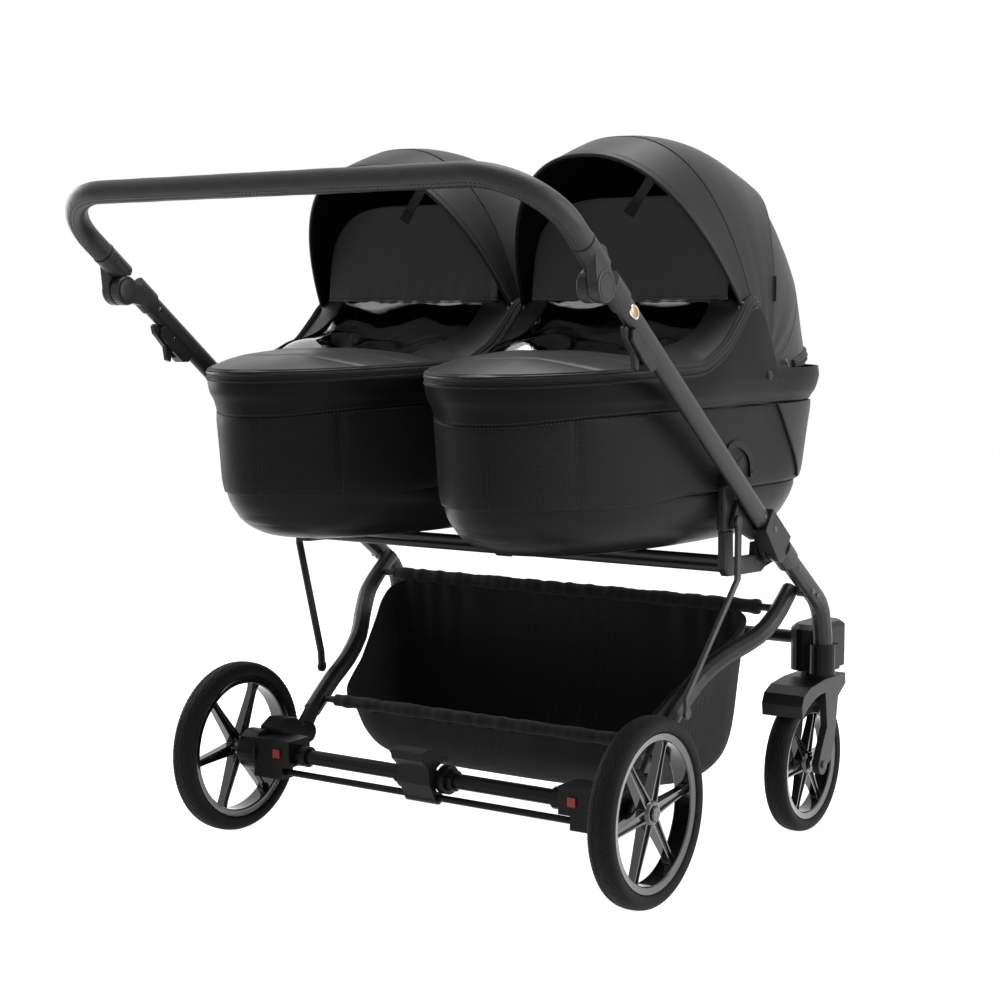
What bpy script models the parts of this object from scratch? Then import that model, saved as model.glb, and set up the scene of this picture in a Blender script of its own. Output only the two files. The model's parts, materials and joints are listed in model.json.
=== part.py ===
"""Twin pram: two carrycots side by side on one folding four-wheel chassis.

Metres, +Z up, +Y the way the pram travels, +X to the right of the person pushing.
The origin is on the floor, under the middle of the whole object.
"""
import math

import bmesh
import bpy
import numpy as np
from mathutils import Matrix, Vector

# Driving dimensions of the chassis
AXLE_Y = -0.1314
GAP = 0.0003
REAR_WHEEL_R = 0.140
REAR_WHEEL_X = 0.3927
FRONT_WHEEL_R = 0.1144
FRONT_WHEEL_X = 0.391
TYRE_WIDTH = 0.041
FRONT_TYRE_WIDTH = 0.038
WHEELBASE = 0.521
TRAIL = 0.051
SWIVEL_R = 0.032
SIDE_X = 0.432
TUBE_HALF_HEIGHT = 0.017
TUBE_HALF_WIDTH = 0.011
TUBE_ANGLE = math.radians(37.88)
TUBE_REF_Y = 0.2266
TUBE_REF_Z = 0.580
LEG_R = 0.0155

# Joint places, as y and z measured from the rear axle's line
KNOB_Y, KNOB_Z, KNOB_R = -0.2125, 0.891, 0.0227
HINGE_S, HINGE_P, HINGE_R = 0.1253, -0.0166, 0.0165
LINK_S, LINK_P = 0.006, -0.0397
REAR_LEG_Y, REAR_LEG_Z = 0.437, 0.415
LINK_FOOT_Y, LINK_FOOT_Z = 0.180, 0.250
SUSPENSION_Y, SUSPENSION_Z = 0.092, 0.155
BRAKE_Y, BRAKE_Z = -0.010, 0.112
HOOD_Y, HOOD_Z = 0.315, 0.761
LEVER_S, LEVER_P = -0.4028, -0.0255

# Driving dimensions of the carrycots
COT_X = 0.210
COT_RIM_Z = 0.760
COT_HALF_WIDTH = 0.2075
COT_WALL = 0.006
COT_FOOT_DEPTH = 0.400
COT_HEAD_DEPTH = 0.200
COT_FOOT_POWER = 2.0
COT_HEAD_POWER = 2.6
HOOD_SHELL = 0.0026
HOOD_FRONT_WIDTH = 0.2038
HOOD_REAR_WIDTH = 0.1985
RIM_ANGLE, SEAM_ANGLE, TAIL_ANGLE = 32.0, -28.0, -87.0
HOOD_SPLIT = 0.4
HOOD_SINK = 0.0040

# Finishes: colour, roughness, metallic
FINISHES = {
    "frame_coat": ((0.018, 0.018, 0.019, 1), 0.42, 0.3),
    "black_plastic": ((0.016, 0.016, 0.017, 1), 0.50, 0.0),
    "gloss_rim": ((0.010, 0.010, 0.011, 1), 0.12, 0.0),
    "tyre_rubber": ((0.022, 0.022, 0.022, 1), 0.75, 0.0),
    "leatherette": ((0.022, 0.021, 0.022, 1), 0.50, 0.0),
    "grip_leatherette": ((0.020, 0.019, 0.019, 1), 0.55, 0.0),
    "perforated_side": ((0.024, 0.023, 0.024, 1), 0.60, 0.0),
    "basket_cloth": ((0.012, 0.011, 0.012, 1), 0.85, 0.0),
    "red_button": ((0.70, 0.02, 0.02, 1), 0.35, 0.0),
    "clear_film": ((0.10, 0.10, 0.11, 1), 0.08, 0.0),
    "badge_metal": ((0.55, 0.46, 0.30, 1), 0.30, 1.0),
}

for stale in list(bpy.data.objects):
    bpy.data.objects.remove(stale, do_unlink=True)
PRAM = bpy.data.collections.new("twin_pram")
CUTTERS = bpy.data.collections.new("cutters")
bpy.context.scene.collection.children.link(PRAM)
bpy.context.scene.collection.children.link(CUTTERS)


def finish_material(finish):
    """The Principled material of one finish, made on first use."""
    if finish in bpy.data.materials:
        return bpy.data.materials[finish]
    colour, roughness, metallic = FINISHES[finish]
    material = bpy.data.materials.new(finish)
    material.use_nodes = True
    shader = material.node_tree.nodes["Principled BSDF"]
    shader.inputs["Base Color"].default_value = colour
    shader.inputs["Roughness"].default_value = roughness
    shader.inputs["Metallic"].default_value = metallic
    return material


def at(x, y, z):
    """A world point from x, and y and z measured from the rear axle's line."""
    return Vector((x, y + AXLE_Y, z))


def on_tube(x, s, p):
    """A point s along the handle tube's line and p square to it, upward."""
    y = TUBE_REF_Y + s * math.cos(TUBE_ANGLE) + p * math.sin(TUBE_ANGLE)
    z = TUBE_REF_Z - s * math.sin(TUBE_ANGLE) + p * math.cos(TUBE_ANGLE)
    return at(x, y, z)


def tube_yz(s, p):
    """The same point as y and z, measured from the rear axle's line."""
    point = on_tube(0, s, p)
    return point.y - AXLE_Y, point.z


def add_object(name, mesh, finish=None):
    """Put a mesh in the scene as one smooth-shaded piece, or as a cutter."""
    piece = bpy.data.objects.new(name, mesh)
    if finish is None:
        CUTTERS.objects.link(piece)
        piece.hide_render = True
        piece.display_type = "WIRE"
        return piece
    PRAM.objects.link(piece)
    mesh.materials.clear()
    mesh.materials.append(finish_material(finish))
    mesh.shade_smooth()
    mesh.set_sharp_from_angle(angle=math.radians(35))
    return piece


def from_bmesh(name, bm, finish=None):
    """Turn a bmesh into a piece."""
    bmesh.ops.recalc_face_normals(bm, faces=bm.faces)
    mesh = bpy.data.meshes.new(name)
    bm.to_mesh(mesh)
    bm.free()
    return add_object(name, mesh, finish)


def baked_mesh(piece):
    """The piece's mesh with its modifiers applied."""
    bpy.context.view_layer.update()
    graph = bpy.context.evaluated_depsgraph_get()
    return bpy.data.meshes.new_from_object(piece.evaluated_get(graph), depsgraph=graph)


def combine(piece, others, operation):
    """Boolean the other solids into the piece and take them away."""
    for number, other in enumerate(others):
        boolean = piece.modifiers.new(f"{operation}_{number}", "BOOLEAN")
        boolean.operation = operation
        boolean.solver = "EXACT"
        boolean.object = other
    mesh = baked_mesh(piece)
    piece.modifiers.clear()
    piece.data = mesh
    mesh.shade_smooth()
    mesh.set_sharp_from_angle(angle=math.radians(35))
    for other in others:
        bpy.data.objects.remove(other, do_unlink=True)
    return piece


def join(piece, *others):
    """Weld solids into one body."""
    return combine(piece, others, "UNION")


def cut(piece, *others):
    """Take the cutters out of the piece."""
    return combine(piece, others, "DIFFERENCE")


def block(name, low, high, finish=None, edge=0.0):
    """A box between two corners given from the axle's line, with rounded edges."""
    low_point, high_point = at(*low), at(*high)
    bm = bmesh.new()
    bmesh.ops.create_cube(bm, size=1.0)
    size = high_point - low_point
    bmesh.ops.scale(bm, vec=size, verts=bm.verts)
    bmesh.ops.translate(bm, vec=(low_point + high_point) / 2, verts=bm.verts)
    if edge:
        bmesh.ops.bevel(bm, geom=bm.edges[:], offset=edge, segments=1, affect="EDGES", profile=0.5)
    return from_bmesh(name, bm, finish)


def rod_between(name, start, end, half_x, half_up, finish=None, sides=18, edge=0.0):
    """A round or oval bar between two world points; half_x is its half width along X."""
    axis = end - start
    side = Vector((1, 0, 0)) if abs(axis.normalized().x) < 0.9 else Vector((0, 1, 0))
    side = (side - axis.normalized() * side.dot(axis.normalized())).normalized()
    upward = axis.normalized().cross(side)
    frame = Matrix((side * half_x, upward * half_up, axis)).transposed().to_4x4()
    frame.translation = (start + end) / 2
    bm = bmesh.new()
    bmesh.ops.create_cone(bm, cap_ends=True, segments=sides, radius1=1, radius2=1, depth=1)
    bmesh.ops.transform(bm, matrix=frame, verts=bm.verts)
    if edge:
        rims = [e for e in bm.edges if any(len(f.verts) > 4 for f in e.link_faces)]
        bmesh.ops.bevel(bm, geom=rims, offset=edge, segments=1, affect="EDGES", profile=0.5)
    return from_bmesh(name, bm, finish)


def drum(name, x0, x1, y, z, radius, finish=None, sides=20, edge=0.0):
    """A cylinder along X, its centre line given from the axle's line."""
    return rod_between(name, at(x0, y, z), at(x1, y, z), radius, radius, finish, sides, edge)


def post(name, x, y, z0, z1, radius, finish=None, sides=20, edge=0.0):
    """An upright cylinder."""
    return rod_between(name, at(x, y, z0), at(x, y, z1), radius, radius, finish, sides, edge)


def pipe(name, points, radius, finish=None, resolution=3, swell=None):
    """A bent round tube along world points, its ends closed."""
    curve = bpy.data.curves.new(name, "CURVE")
    curve.dimensions = "3D"
    curve.bevel_depth = radius
    curve.bevel_resolution = resolution
    curve.use_fill_caps = True
    spline = curve.splines.new("POLY")
    spline.points.add(len(points) - 1)
    for number, point in enumerate(points):
        spline.points[number].co = (*point, 1)
        spline.points[number].radius = swell[number] if swell else 1.0
    guide = bpy.data.objects.new(name, curve)
    CUTTERS.objects.link(guide)
    mesh = baked_mesh(guide)
    bpy.data.objects.remove(guide, do_unlink=True)
    bm = bmesh.new()
    bm.from_mesh(mesh)
    bmesh.ops.remove_doubles(bm, verts=bm.verts, dist=1e-6)
    return from_bmesh(name, bm, finish)


def filleted(corners, radii, steps=6):
    """A route of straight runs whose inner corners are arcs of the given radii."""
    route = [corners[0]]
    for before, corner, after, radius in zip(corners, corners[1:], corners[2:], radii):
        inward, outward = (before - corner).normalized(), (after - corner).normalized()
        half = inward.angle(outward) / 2
        reach = radius / math.tan(half)
        centre = corner + (inward + outward).normalized() * (radius / math.sin(half))
        first = corner + inward * reach - centre
        last = corner + outward * reach - centre
        for step in range(steps + 1):
            route.append(centre + first.slerp(last, step / steps).normalized() * radius)
    route.append(corners[-1])
    return route


def smooth_route(points, steps=2):
    """Points of a smooth curve through the given ones."""
    ends = [points[0] * 2 - points[1]] + list(points) + [points[-1] * 2 - points[-2]]
    route = []
    for a, b, c, d in zip(ends, ends[1:], ends[2:], ends[3:]):
        for step in range(steps):
            t = step / steps
            route.append(0.5 * (2 * b + (c - a) * t + (2 * a - 5 * b + 4 * c - d) * t ** 2
                                + (3 * b - a - 3 * c + d) * t ** 3))
    route.append(points[-1])
    return route


def arc(y, z, radius, start_deg, end_deg, steps=8):
    """Points of an arc in the side view, angles from +y towards +z."""
    angles = np.radians(np.linspace(start_deg, end_deg, steps + 1))
    return [(y + radius * math.cos(a), z + radius * math.sin(a)) for a in angles]


def plate(name, outline, x0, x1, finish=None):
    """A flat plate between x0 and x1 with a side-view outline."""
    curve = bpy.data.curves.new(name, "CURVE")
    curve.dimensions = "2D"
    curve.fill_mode = "BOTH"
    curve.extrude = (x1 - x0) / 2
    spline = curve.splines.new("POLY")
    spline.points.add(len(outline) - 1)
    for number, (y, z) in enumerate(outline):
        spline.points[number].co = (y + AXLE_Y, z, 0, 1)
    spline.use_cyclic_u = True
    guide = bpy.data.objects.new(name, curve)
    CUTTERS.objects.link(guide)
    mesh = baked_mesh(guide)
    bpy.data.objects.remove(guide, do_unlink=True)
    stand = Matrix(((0, 0, 1), (1, 0, 0), (0, 1, 0))).to_4x4()
    stand.translation = ((x0 + x1) / 2, 0, 0)
    mesh.transform(stand)
    bm = bmesh.new()
    bm.from_mesh(mesh)
    bmesh.ops.remove_doubles(bm, verts=bm.verts, dist=1e-6)
    return from_bmesh(name, bm, finish)


def capsule(y0, z0, r0, y1, z1, r1, steps=8):
    """The outline of two discs and the straight edges between them."""
    heading = math.degrees(math.atan2(z1 - z0, y1 - y0))
    return arc(y1, z1, r1, heading - 90, heading + 90, steps) + arc(y0, z0, r0, heading + 90, heading + 270, steps)


def loft(name, rings, finish=None):
    """A closed solid through closed rings of equal count, its two ends capped."""
    bm = bmesh.new()
    rows = [[bm.verts.new(Vector(p)) for p in ring] for ring in rings]
    for lower, upper in zip(rows, rows[1:]):
        for i in range(len(lower)):
            j = (i + 1) % len(lower)
            bm.faces.new((lower[i], lower[j], upper[j], upper[i]))
    bm.faces.new(rows[0][::-1])
    bm.faces.new(rows[-1])
    return from_bmesh(name, bm, finish)


def loop_loft(name, rings, finish=None):
    """A closed solid through closed rings, the last ring joined back to the first."""
    bm = bmesh.new()
    rows = [[bm.verts.new(p) for p in ring] for ring in rings]
    for lower, upper in zip(rows, rows[1:] + rows[:1]):
        for i in range(len(lower)):
            j = (i + 1) % len(lower)
            bm.faces.new((lower[i], lower[j], upper[j], upper[i]))
    return from_bmesh(name, bm, finish)


def sheet_solid(name, outer, inner, finish=None):
    """A closed solid between two like grids of points."""
    rows, columns = outer.shape[:2]
    bm = bmesh.new()
    skins = [[[bm.verts.new(Vector(p)) for p in row] for row in grid] for grid in (outer, inner)]
    for grid in skins:
        for i in range(rows - 1):
            for j in range(columns - 1):
                bm.faces.new((grid[i][j], grid[i + 1][j], grid[i + 1][j + 1], grid[i][j + 1]))
    border = [(i, 0) for i in range(rows)] + [(rows - 1, j) for j in range(1, columns)]
    border += [(i, columns - 1) for i in range(rows - 2, -1, -1)] + [(0, j) for j in range(columns - 2, 0, -1)]
    for (i, j), (k, m) in zip(border, border[1:] + border[:1]):
        bm.faces.new((skins[0][i][j], skins[0][k][m], skins[1][k][m], skins[1][i][j]))
    return from_bmesh(name, bm, finish)


def turned(name, profile, x, y, z, finish=None, steps=32):
    """A ring turned about an X axis; the profile is (x offset, radius) points, closed."""
    mesh = bpy.data.meshes.new(name)
    count = len(profile)
    points = [(radius, 0, offset) for offset, radius in profile]
    mesh.from_pydata(points, [(i, (i + 1) % count) for i in range(count)], [])
    guide = bpy.data.objects.new(name, mesh)
    CUTTERS.objects.link(guide)
    screw = guide.modifiers.new("turn", "SCREW")
    screw.steps = steps
    screw.render_steps = steps
    screw.use_merge_vertices = True
    screw.merge_threshold = 1e-5
    solid = baked_mesh(guide)
    bpy.data.objects.remove(guide, do_unlink=True)
    lay = Matrix.Rotation(math.radians(90), 4, "Y")
    solid.transform(Matrix.Translation(at(x, y, z)) @ lay)
    bm = bmesh.new()
    bm.from_mesh(solid)
    bmesh.ops.remove_doubles(bm, verts=bm.verts, dist=1e-6)
    return from_bmesh(name, bm, finish)


def twin(piece):
    """The left-hand copy of a right-hand piece."""
    mesh = piece.data.copy()
    mesh.transform(Matrix.Scale(-1, 4, Vector((1, 0, 0))))
    mesh.flip_normals()
    finish = piece.data.materials[0].name
    return add_object(piece.name.replace("_right", "_left"), mesh, finish)


def signed_power(value, power):
    """A power that keeps the sign."""
    return np.sign(value) * np.abs(value) ** power


# Chassis


def oval_on_tube(name, s0, s1, grow=0.0, finish=None):
    """A length of the oval handle tube, grown all round by a margin."""
    start, end = on_tube(SIDE_X, s0, 0), on_tube(SIDE_X, s1, 0)
    return rod_between(name, start, end, TUBE_HALF_WIDTH + grow, TUBE_HALF_HEIGHT + grow, finish)


TUBE_TOP_S, TUBE_END_S = -0.5096, 0.105


def make_handle_tube():
    """The straight oval tube from the knob to the main hinge."""
    return oval_on_tube("handle_tube_right", TUBE_TOP_S, TUBE_END_S, 0.0, "frame_coat")


def make_hinge_upper():
    """The knuckle on the handle tube's end, with the plate that drives the link."""
    inner_x, outer_x = 0.4185, 0.4465
    hinge_y, hinge_z = tube_yz(HINGE_S, HINGE_P)
    tilt = -math.degrees(TUBE_ANGLE)
    outline = [tube_yz(0.060, -0.0195), tube_yz(0.060, 0.0195), tube_yz(0.1385, 0.0195)]
    outline += [tube_yz(0.1385, -0.009)]
    outline += arc(hinge_y, hinge_z, HINGE_R, tilt + 20, tilt - 120, 8)
    outline = outline[::-1]
    body = plate("hinge_upper_right", outline, inner_x, outer_x, "black_plastic")
    link_y, link_z = tube_yz(LINK_S, LINK_P)
    wing = [tube_yz(0.070, -0.0315), tube_yz(0.070, -0.0100), tube_yz(-0.010, -0.0100)]
    wing += arc(link_y, link_z, 0.0105, tilt - 200, tilt - 60, 6)
    join(body, plate("link_plate", wing, inner_x, 0.4245))
    slot = plate("slot", [tube_yz(HINGE_S - 0.016, HINGE_P - 0.03), tube_yz(0.18, HINGE_P - 0.03),
                          tube_yz(0.18, 0.0025), tube_yz(HINGE_S - 0.016, 0.0025)], 0.4258, 0.4382)
    return cut(body, oval_on_tube("tube_room", -0.2, TUBE_END_S + GAP, GAP), slot)


def make_front_leg():
    """The lower side tube with its hinge sleeve and lugs."""
    corners = [at(SIDE_X, 0.345, 0.488), at(SIDE_X, 0.490, 0.386), at(SIDE_X, 0.502, 0.330), at(SIDE_X, 0.502, 0.287)]
    leg = pipe("front_leg_right", filleted(corners, (0.07, 0.05), 3), LEG_R, "frame_coat", 4)
    sleeve = rod_between("sleeve", on_tube(SIDE_X, 0.1423, 0), on_tube(SIDE_X, 0.178, 0), 0.0170, 0.0205)
    hinge_y, hinge_z = tube_yz(HINGE_S, HINGE_P)
    root_y, root_z = tube_yz(0.152, -0.006)
    lug = plate("lug", capsule(hinge_y, hinge_z, 0.0135, root_y, root_z, 0.0125), 0.4265, 0.4375)
    leg_lug = drum("leg_lug", 0.4185, SIDE_X, REAR_LEG_Y, REAR_LEG_Z, 0.011)
    return join(leg, sleeve, lug, leg_lug)


def make_swivel_housing():
    """The housing of the front caster's swivel, with the socket of the front leg."""
    swivel_y = WHEELBASE + TRAIL
    half_straight = 0.030
    plan = [at(FRONT_WHEEL_X + SWIVEL_R * math.cos(a), swivel_y + math.copysign(half_straight, math.sin(a))
               + SWIVEL_R * math.sin(a), 0) for a in np.radians(np.arange(10, 360, 20))]
    levels = [(0.2680, 1.0), (0.3370, 1.0), (0.3440, 0.80)]
    centre = at(FRONT_WHEEL_X, swivel_y, 0)
    rings = [[centre + (p - centre) * scale + Vector((0, 0, z)) for p in plan] for z, scale in levels]
    housing = loft("swivel_housing_right", rings, "black_plastic")
    socket = post("socket", SIDE_X, 0.502, 0.2700, 0.3180, 0.0205)
    bridge = block("bridge", (0.395, 0.505, 0.2720), (0.440, 0.552, 0.3140))
    join(housing, socket, bridge)
    room = pipe("leg_room", [at(SIDE_X, 0.502, 0.2865), at(SIDE_X, 0.502, 0.36)], LEG_R + GAP * 2, resolution=4)
    return cut(housing, room)


def make_front_cross_tube():
    """The tube between the two caster housings."""
    reach = FRONT_WHEEL_X - SWIVEL_R - GAP
    return drum("front_cross_tube", -reach, reach, 0.548, 0.318, 0.011, "frame_coat", 16)


def make_fork():
    """The caster fork: crown with a short mudguard, and an arm each side of the wheel."""
    axle_y, axle_z = WHEELBASE, FRONT_WHEEL_R
    guard = [(0.438, 0.224), (0.446, 0.240), (0.470, 0.2505), (0.520, 0.2560), (0.604, 0.2560), (0.606, 0.238)]
    guard += arc(axle_y, axle_z, FRONT_WHEEL_R + 0.0056, 62, 132, 8)
    inner_x, outer_x = 0.3550, 0.4270
    fork = plate("fork_right", guard[::-1], inner_x, outer_x, "black_plastic")
    arm = [(0.526, 0.2400), (0.535, 0.176), (0.510, 0.131)]
    arm += arc(axle_y, axle_z, 0.0170, 135, 350, 8)
    arm += [(0.552, 0.118), (0.566, 0.152), (0.580, 0.2400)]
    disc = post("swivel_disc", FRONT_WHEEL_X, axle_y + TRAIL, 0.2500, 0.2674, 0.028)
    bolt = drum("axle_bolt", outer_x - 0.002, outer_x + 0.0025, axle_y, axle_z, 0.0065, sides=16)
    return join(fork, plate("outer_arm", arm, 0.4150, outer_x), plate("inner_arm", arm, inner_x, 0.3670), disc, bolt)


def make_seat_bracket():
    """The U-shaped bracket inside the hinge that carries the carrycots."""
    outline = [(0.188, 0.530), (0.188, 0.474), (0.200, 0.462), (0.310, 0.458), (0.322, 0.464), (0.356, 0.470)]
    outline += [(0.360, 0.484), (0.345, 0.494), (0.318, 0.505), (0.292, 0.505), (0.290, 0.486), (0.216, 0.488)]
    outline += [(0.214, 0.530)]
    return plate("seat_bracket_right", outline, 0.4035, 0.4150, "frame_coat")


def make_cot_adaptor():
    """The plastic post on the bracket that a carrycot's side lug sits on."""
    return block("cot_adaptor_right", (0.4025, 0.184, 0.530 + GAP), (0.4165, 0.222, 0.600), "black_plastic", 0.003)


def make_seat_cross_tubes():
    """The two tubes under the carrycots, held together by the middle clamp."""
    reach = 0.4035 - GAP
    rear = drum("seat_cross_tubes", -reach, reach, 0.196, 0.487, 0.0075, "frame_coat", 14)
    front = drum("second_tube", -reach, reach, 0.214, 0.473, 0.0075, sides=14)
    clamp = plate("clamp", capsule(0.196, 0.487, 0.0105, 0.214, 0.473, 0.0105), -0.013, 0.013)
    return join(rear, front, clamp)


def make_release_housing():
    """The fold release's housing under the handle tube."""
    outline = [tube_yz(-0.432, -0.012), tube_yz(-0.438, -0.021), tube_yz(-0.430, -0.030), tube_yz(-0.395, -0.034)]
    outline += [tube_yz(-0.366, -0.034), tube_yz(-0.356, -0.026), tube_yz(-0.356, -0.012)]
    housing = plate("release_housing_right", outline[::-1], 0.4230, 0.4410, "black_plastic")
    slot = plate("lever_slot", [tube_yz(-0.46, -0.06), tube_yz(-0.3785, -0.06), tube_yz(-0.3785, -0.0180),
                                tube_yz(-0.46, -0.0180)], 0.4278, 0.4362)
    return cut(housing, oval_on_tube("tube_room", -0.47, -0.32, GAP), slot)


def make_release_lever():
    """The finger lever that turns in the release housing."""
    outline = [tube_yz(-0.448, -0.0200), tube_yz(-0.4495, -0.0260), tube_yz(-0.440, -0.0330)]
    outline += [tube_yz(-0.410, -0.0350), tube_yz(-0.393, -0.0500), tube_yz(-0.385, -0.0475)]
    outline += [tube_yz(-0.394, -0.0300), tube_yz(-0.398, -0.0210)]
    return plate("release_lever_right", outline, 0.4284, 0.4356, "black_plastic")


def make_handle_knuckle():
    """The half drum fixed to the handle tube's top end, and the socket round that end."""
    half = drum("handle_knuckle_right", 0.4150, SIDE_X - 0.0005, KNOB_Y, KNOB_Z, KNOB_R, "black_plastic", 24, 0.002)
    sleeve = rod_between("sleeve", on_tube(SIDE_X, TUBE_TOP_S - 0.0055, 0), on_tube(SIDE_X, -0.474, 0),
                         TUBE_HALF_WIDTH + 0.003, TUBE_HALF_HEIGHT + 0.003)
    web = plate("web", capsule(KNOB_Y, KNOB_Z, 0.0165, *tube_yz(-0.495, -0.004), 0.014), 0.4190, 0.4300)
    arm_room = drum("far_half_room", SIDE_X - 0.0004, 0.46, KNOB_Y, KNOB_Z, KNOB_R + 0.0008, sides=24)
    pocket = drum("button_pocket", 0.4100, 0.4215, KNOB_Y, KNOB_Z, 0.0185 + GAP)
    join(half, sleeve, web)
    return cut(half, oval_on_tube("tube_room", TUBE_TOP_S - GAP, -0.40, GAP), arm_room, pocket)


def make_tilt_button():
    """The round push button in the knuckle's inner face."""
    return drum("tilt_button_right", 0.4130, 0.4185, KNOB_Y, KNOB_Z, 0.0185, "black_plastic")


BAR_CORNER = (-0.3550, 1.0310)
BAR_R = 0.013
BEND_R = 0.108
GRIP_R = 0.0170
COLLAR_R = 0.0178
COLLAR_S = -0.5476
GRIP_S = -0.5990


def handle_corners(start):
    """The handlebar's corner points, its arms in line with the handle tubes from a place along them."""
    corner = at(SIDE_X, *BAR_CORNER)
    first = on_tube(SIDE_X, start, 0)
    flip = Vector((-1, 1, 1))
    return [first, corner, corner * flip, first * flip]


def make_handlebar():
    """The U-shaped bar with a plastic sleeve and a half drum at each end."""
    bar = pipe("handlebar", filleted(handle_corners(COLLAR_S - 0.004), (BEND_R, BEND_R), 6), BAR_R, "frame_coat", 4)
    shoulder = capsule(KNOB_Y, KNOB_Z, KNOB_R - 0.0005, *tube_yz(COLLAR_S - 0.022, -0.0008), COLLAR_R - 0.002)
    for side in (1, -1):
        flip = Vector((side, 1, 1))
        near, far = on_tube(SIDE_X, COLLAR_S, 0) * flip, on_tube(SIDE_X, GRIP_S + 0.001, 0) * flip
        collar = rod_between("collar", near, far, COLLAR_R, COLLAR_R, sides=16)
        half = drum("half", side * (SIDE_X + 0.0005), side * 0.4490, KNOB_Y, KNOB_Z, KNOB_R, sides=24, edge=0.002)
        web = plate("web", shoulder, min(side * 0.4330, side * 0.4475), max(side * 0.4330, side * 0.4475))
        join(bar, collar, half, web)
        room = drum("near_half_room", side * 0.40, side * SIDE_X, KNOB_Y, KNOB_Z, KNOB_R + 0.0008, sides=24)
        cut(bar, room)
    return bar


def make_grip():
    """The leatherette cover round the bar and its bends: a long sleeve, open at both ends."""
    route = filleted(handle_corners(GRIP_S), (BEND_R, BEND_R), 6)
    square = (route[0] - route[1]).cross(Vector((1, 0, 0))).normalized()
    sides, skins = 12, []
    for radius in (GRIP_R, BAR_R + GAP * 3):
        rings = []
        for number, point in enumerate(route):
            run = (route[min(number + 1, len(route) - 1)] - route[max(number - 1, 0)]).normalized()
            across = run.cross(square)
            turns = [2 * math.pi * (k + 0.5) / sides for k in range(sides)]
            rings.append([point + square * (radius * math.cos(t)) + across * (radius * math.sin(t)) for t in turns])
        skins.append(rings)
    return loop_loft("grip", skins[0] + skins[1][::-1], "grip_leatherette")


def make_badge():
    """A plain oval badge on the outer side of the right handle tube."""
    outer_x = SIDE_X + TUBE_HALF_WIDTH
    badge = drum("badge_right", outer_x - 0.0015, outer_x + 0.0010, *tube_yz(-0.4527, -0.001), 0.0085,
                 "badge_metal", 20)
    return cut(badge, oval_on_tube("tube_room", -0.48, -0.42, GAP))


def make_link():
    """The flat bar from the hinge's plate down to the rear leg, bent inward twice."""
    link_y, link_z = tube_yz(LINK_S, LINK_P)
    route = [(0.4277, link_y, link_z), (0.4277, 0.206, 0.458), (0.3580, 0.178, 0.276),
             (0.3580, LINK_FOOT_Y, LINK_FOOT_Z)]
    points = [at(*p) for p in route]
    half_width, half_thickness = 0.0065, 0.0025
    rings = []
    for number, point in enumerate(points):
        ahead = points[min(number + 1, len(points) - 1)]
        behind = points[max(number - 1, 0)]
        run_in = (point - behind).normalized() if number else (ahead - point).normalized()
        run_out = (ahead - point).normalized() if number < len(points) - 1 else run_in
        across = Vector((0, 1, 0))
        normal_in, normal_out = across.cross(run_in).normalized(), across.cross(run_out).normalized()
        normal = (normal_in + normal_out).normalized()
        reach = half_thickness / max(normal.dot(normal_in), 0.5)
        rings.append([point + across * half_width + normal * reach, point - across * half_width + normal * reach,
                      point - across * half_width - normal * reach, point + across * half_width - normal * reach])
    bar = loft("link_right", rings, "frame_coat")
    top = drum("top_eye", 0.4252, 0.4302, link_y, link_z, 0.0095, sides=20)
    foot = drum("foot_eye", 0.3555, 0.3605, LINK_FOOT_Y, LINK_FOOT_Z, 0.0095, sides=20)
    return join(bar, top, foot)


LEG_ROUTE = [(0.4035, 0.437, 0.415), (0.4032, 0.400, 0.387), (0.3980, 0.363, 0.360), (0.3820, 0.331, 0.340),
             (0.3590, 0.293, 0.320), (0.3390, 0.258, 0.294), (0.3300, 0.214, 0.260), (0.3290, 0.170, 0.231),
             (0.3300, 0.118, 0.186)]


def make_rear_leg():
    """The S-shaped rear leg with its foot lug for the suspension pin."""
    route = smooth_route([at(*p) for p in LEG_ROUTE], 2)
    thin_end = 5
    swell = [0.90 + 0.10 * min(number / thin_end, 1) for number in range(len(route))]
    leg = pipe("rear_leg_right", route, 0.0150, "frame_coat", 3, swell)
    foot = plate("foot", capsule(SUSPENSION_Y, SUSPENSION_Z, 0.0155, 0.118, 0.186, 0.0130), 0.3250, 0.3350)
    return join(leg, foot)


def make_hub_housing():
    """The rear hub's housing: axle sleeve, body, bearing drum and the suspension clevis."""
    housing = drum("hub_housing_right", 0.328, 0.3662, 0, REAR_WHEEL_R, 0.034, "black_plastic", 24, 0.003)
    sleeve = drum("sleeve", 0.236, 0.270, 0, REAR_WHEEL_R, 0.0168, sides=16)
    body = block("body", (0.258, -0.0275, 0.1235), (0.335, 0.026, 0.1665))
    keel = block("keel", (0.276, -0.0235, 0.1010), (0.335, 0.004, 0.1300))
    near = plate("near_cheek", capsule(0.010, 0.145, 0.020, SUSPENSION_Y, SUSPENSION_Z, 0.0165), 0.3125, 0.3245)
    far = plate("far_cheek", capsule(0.010, 0.145, 0.020, SUSPENSION_Y, SUSPENSION_Z, 0.0165), 0.3355, 0.3475)
    cover_line = [(0.004, 0.150), (0.068, 0.150), (0.073, 0.172), (0.058, 0.186), (0.030, 0.190), (0.008, 0.178)]
    cover = plate("cover", cover_line, 0.3125, 0.3475)
    join(housing, sleeve, body, keel, near, far, cover)
    axle_room = drum("axle_room", 0.20, 0.2500, 0, REAR_WHEEL_R, 0.0120 + GAP, sides=16)
    rod_room = drum("rod_room", 0.20, 0.2900, BRAKE_Y, BRAKE_Z, 0.0055 + GAP, sides=12)
    pocket = block("pocket", (0.2752, -0.04, 0.1376), (0.2900, -0.0150, 0.1524))
    return cut(housing, axle_room, rod_room, pocket)


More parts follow.
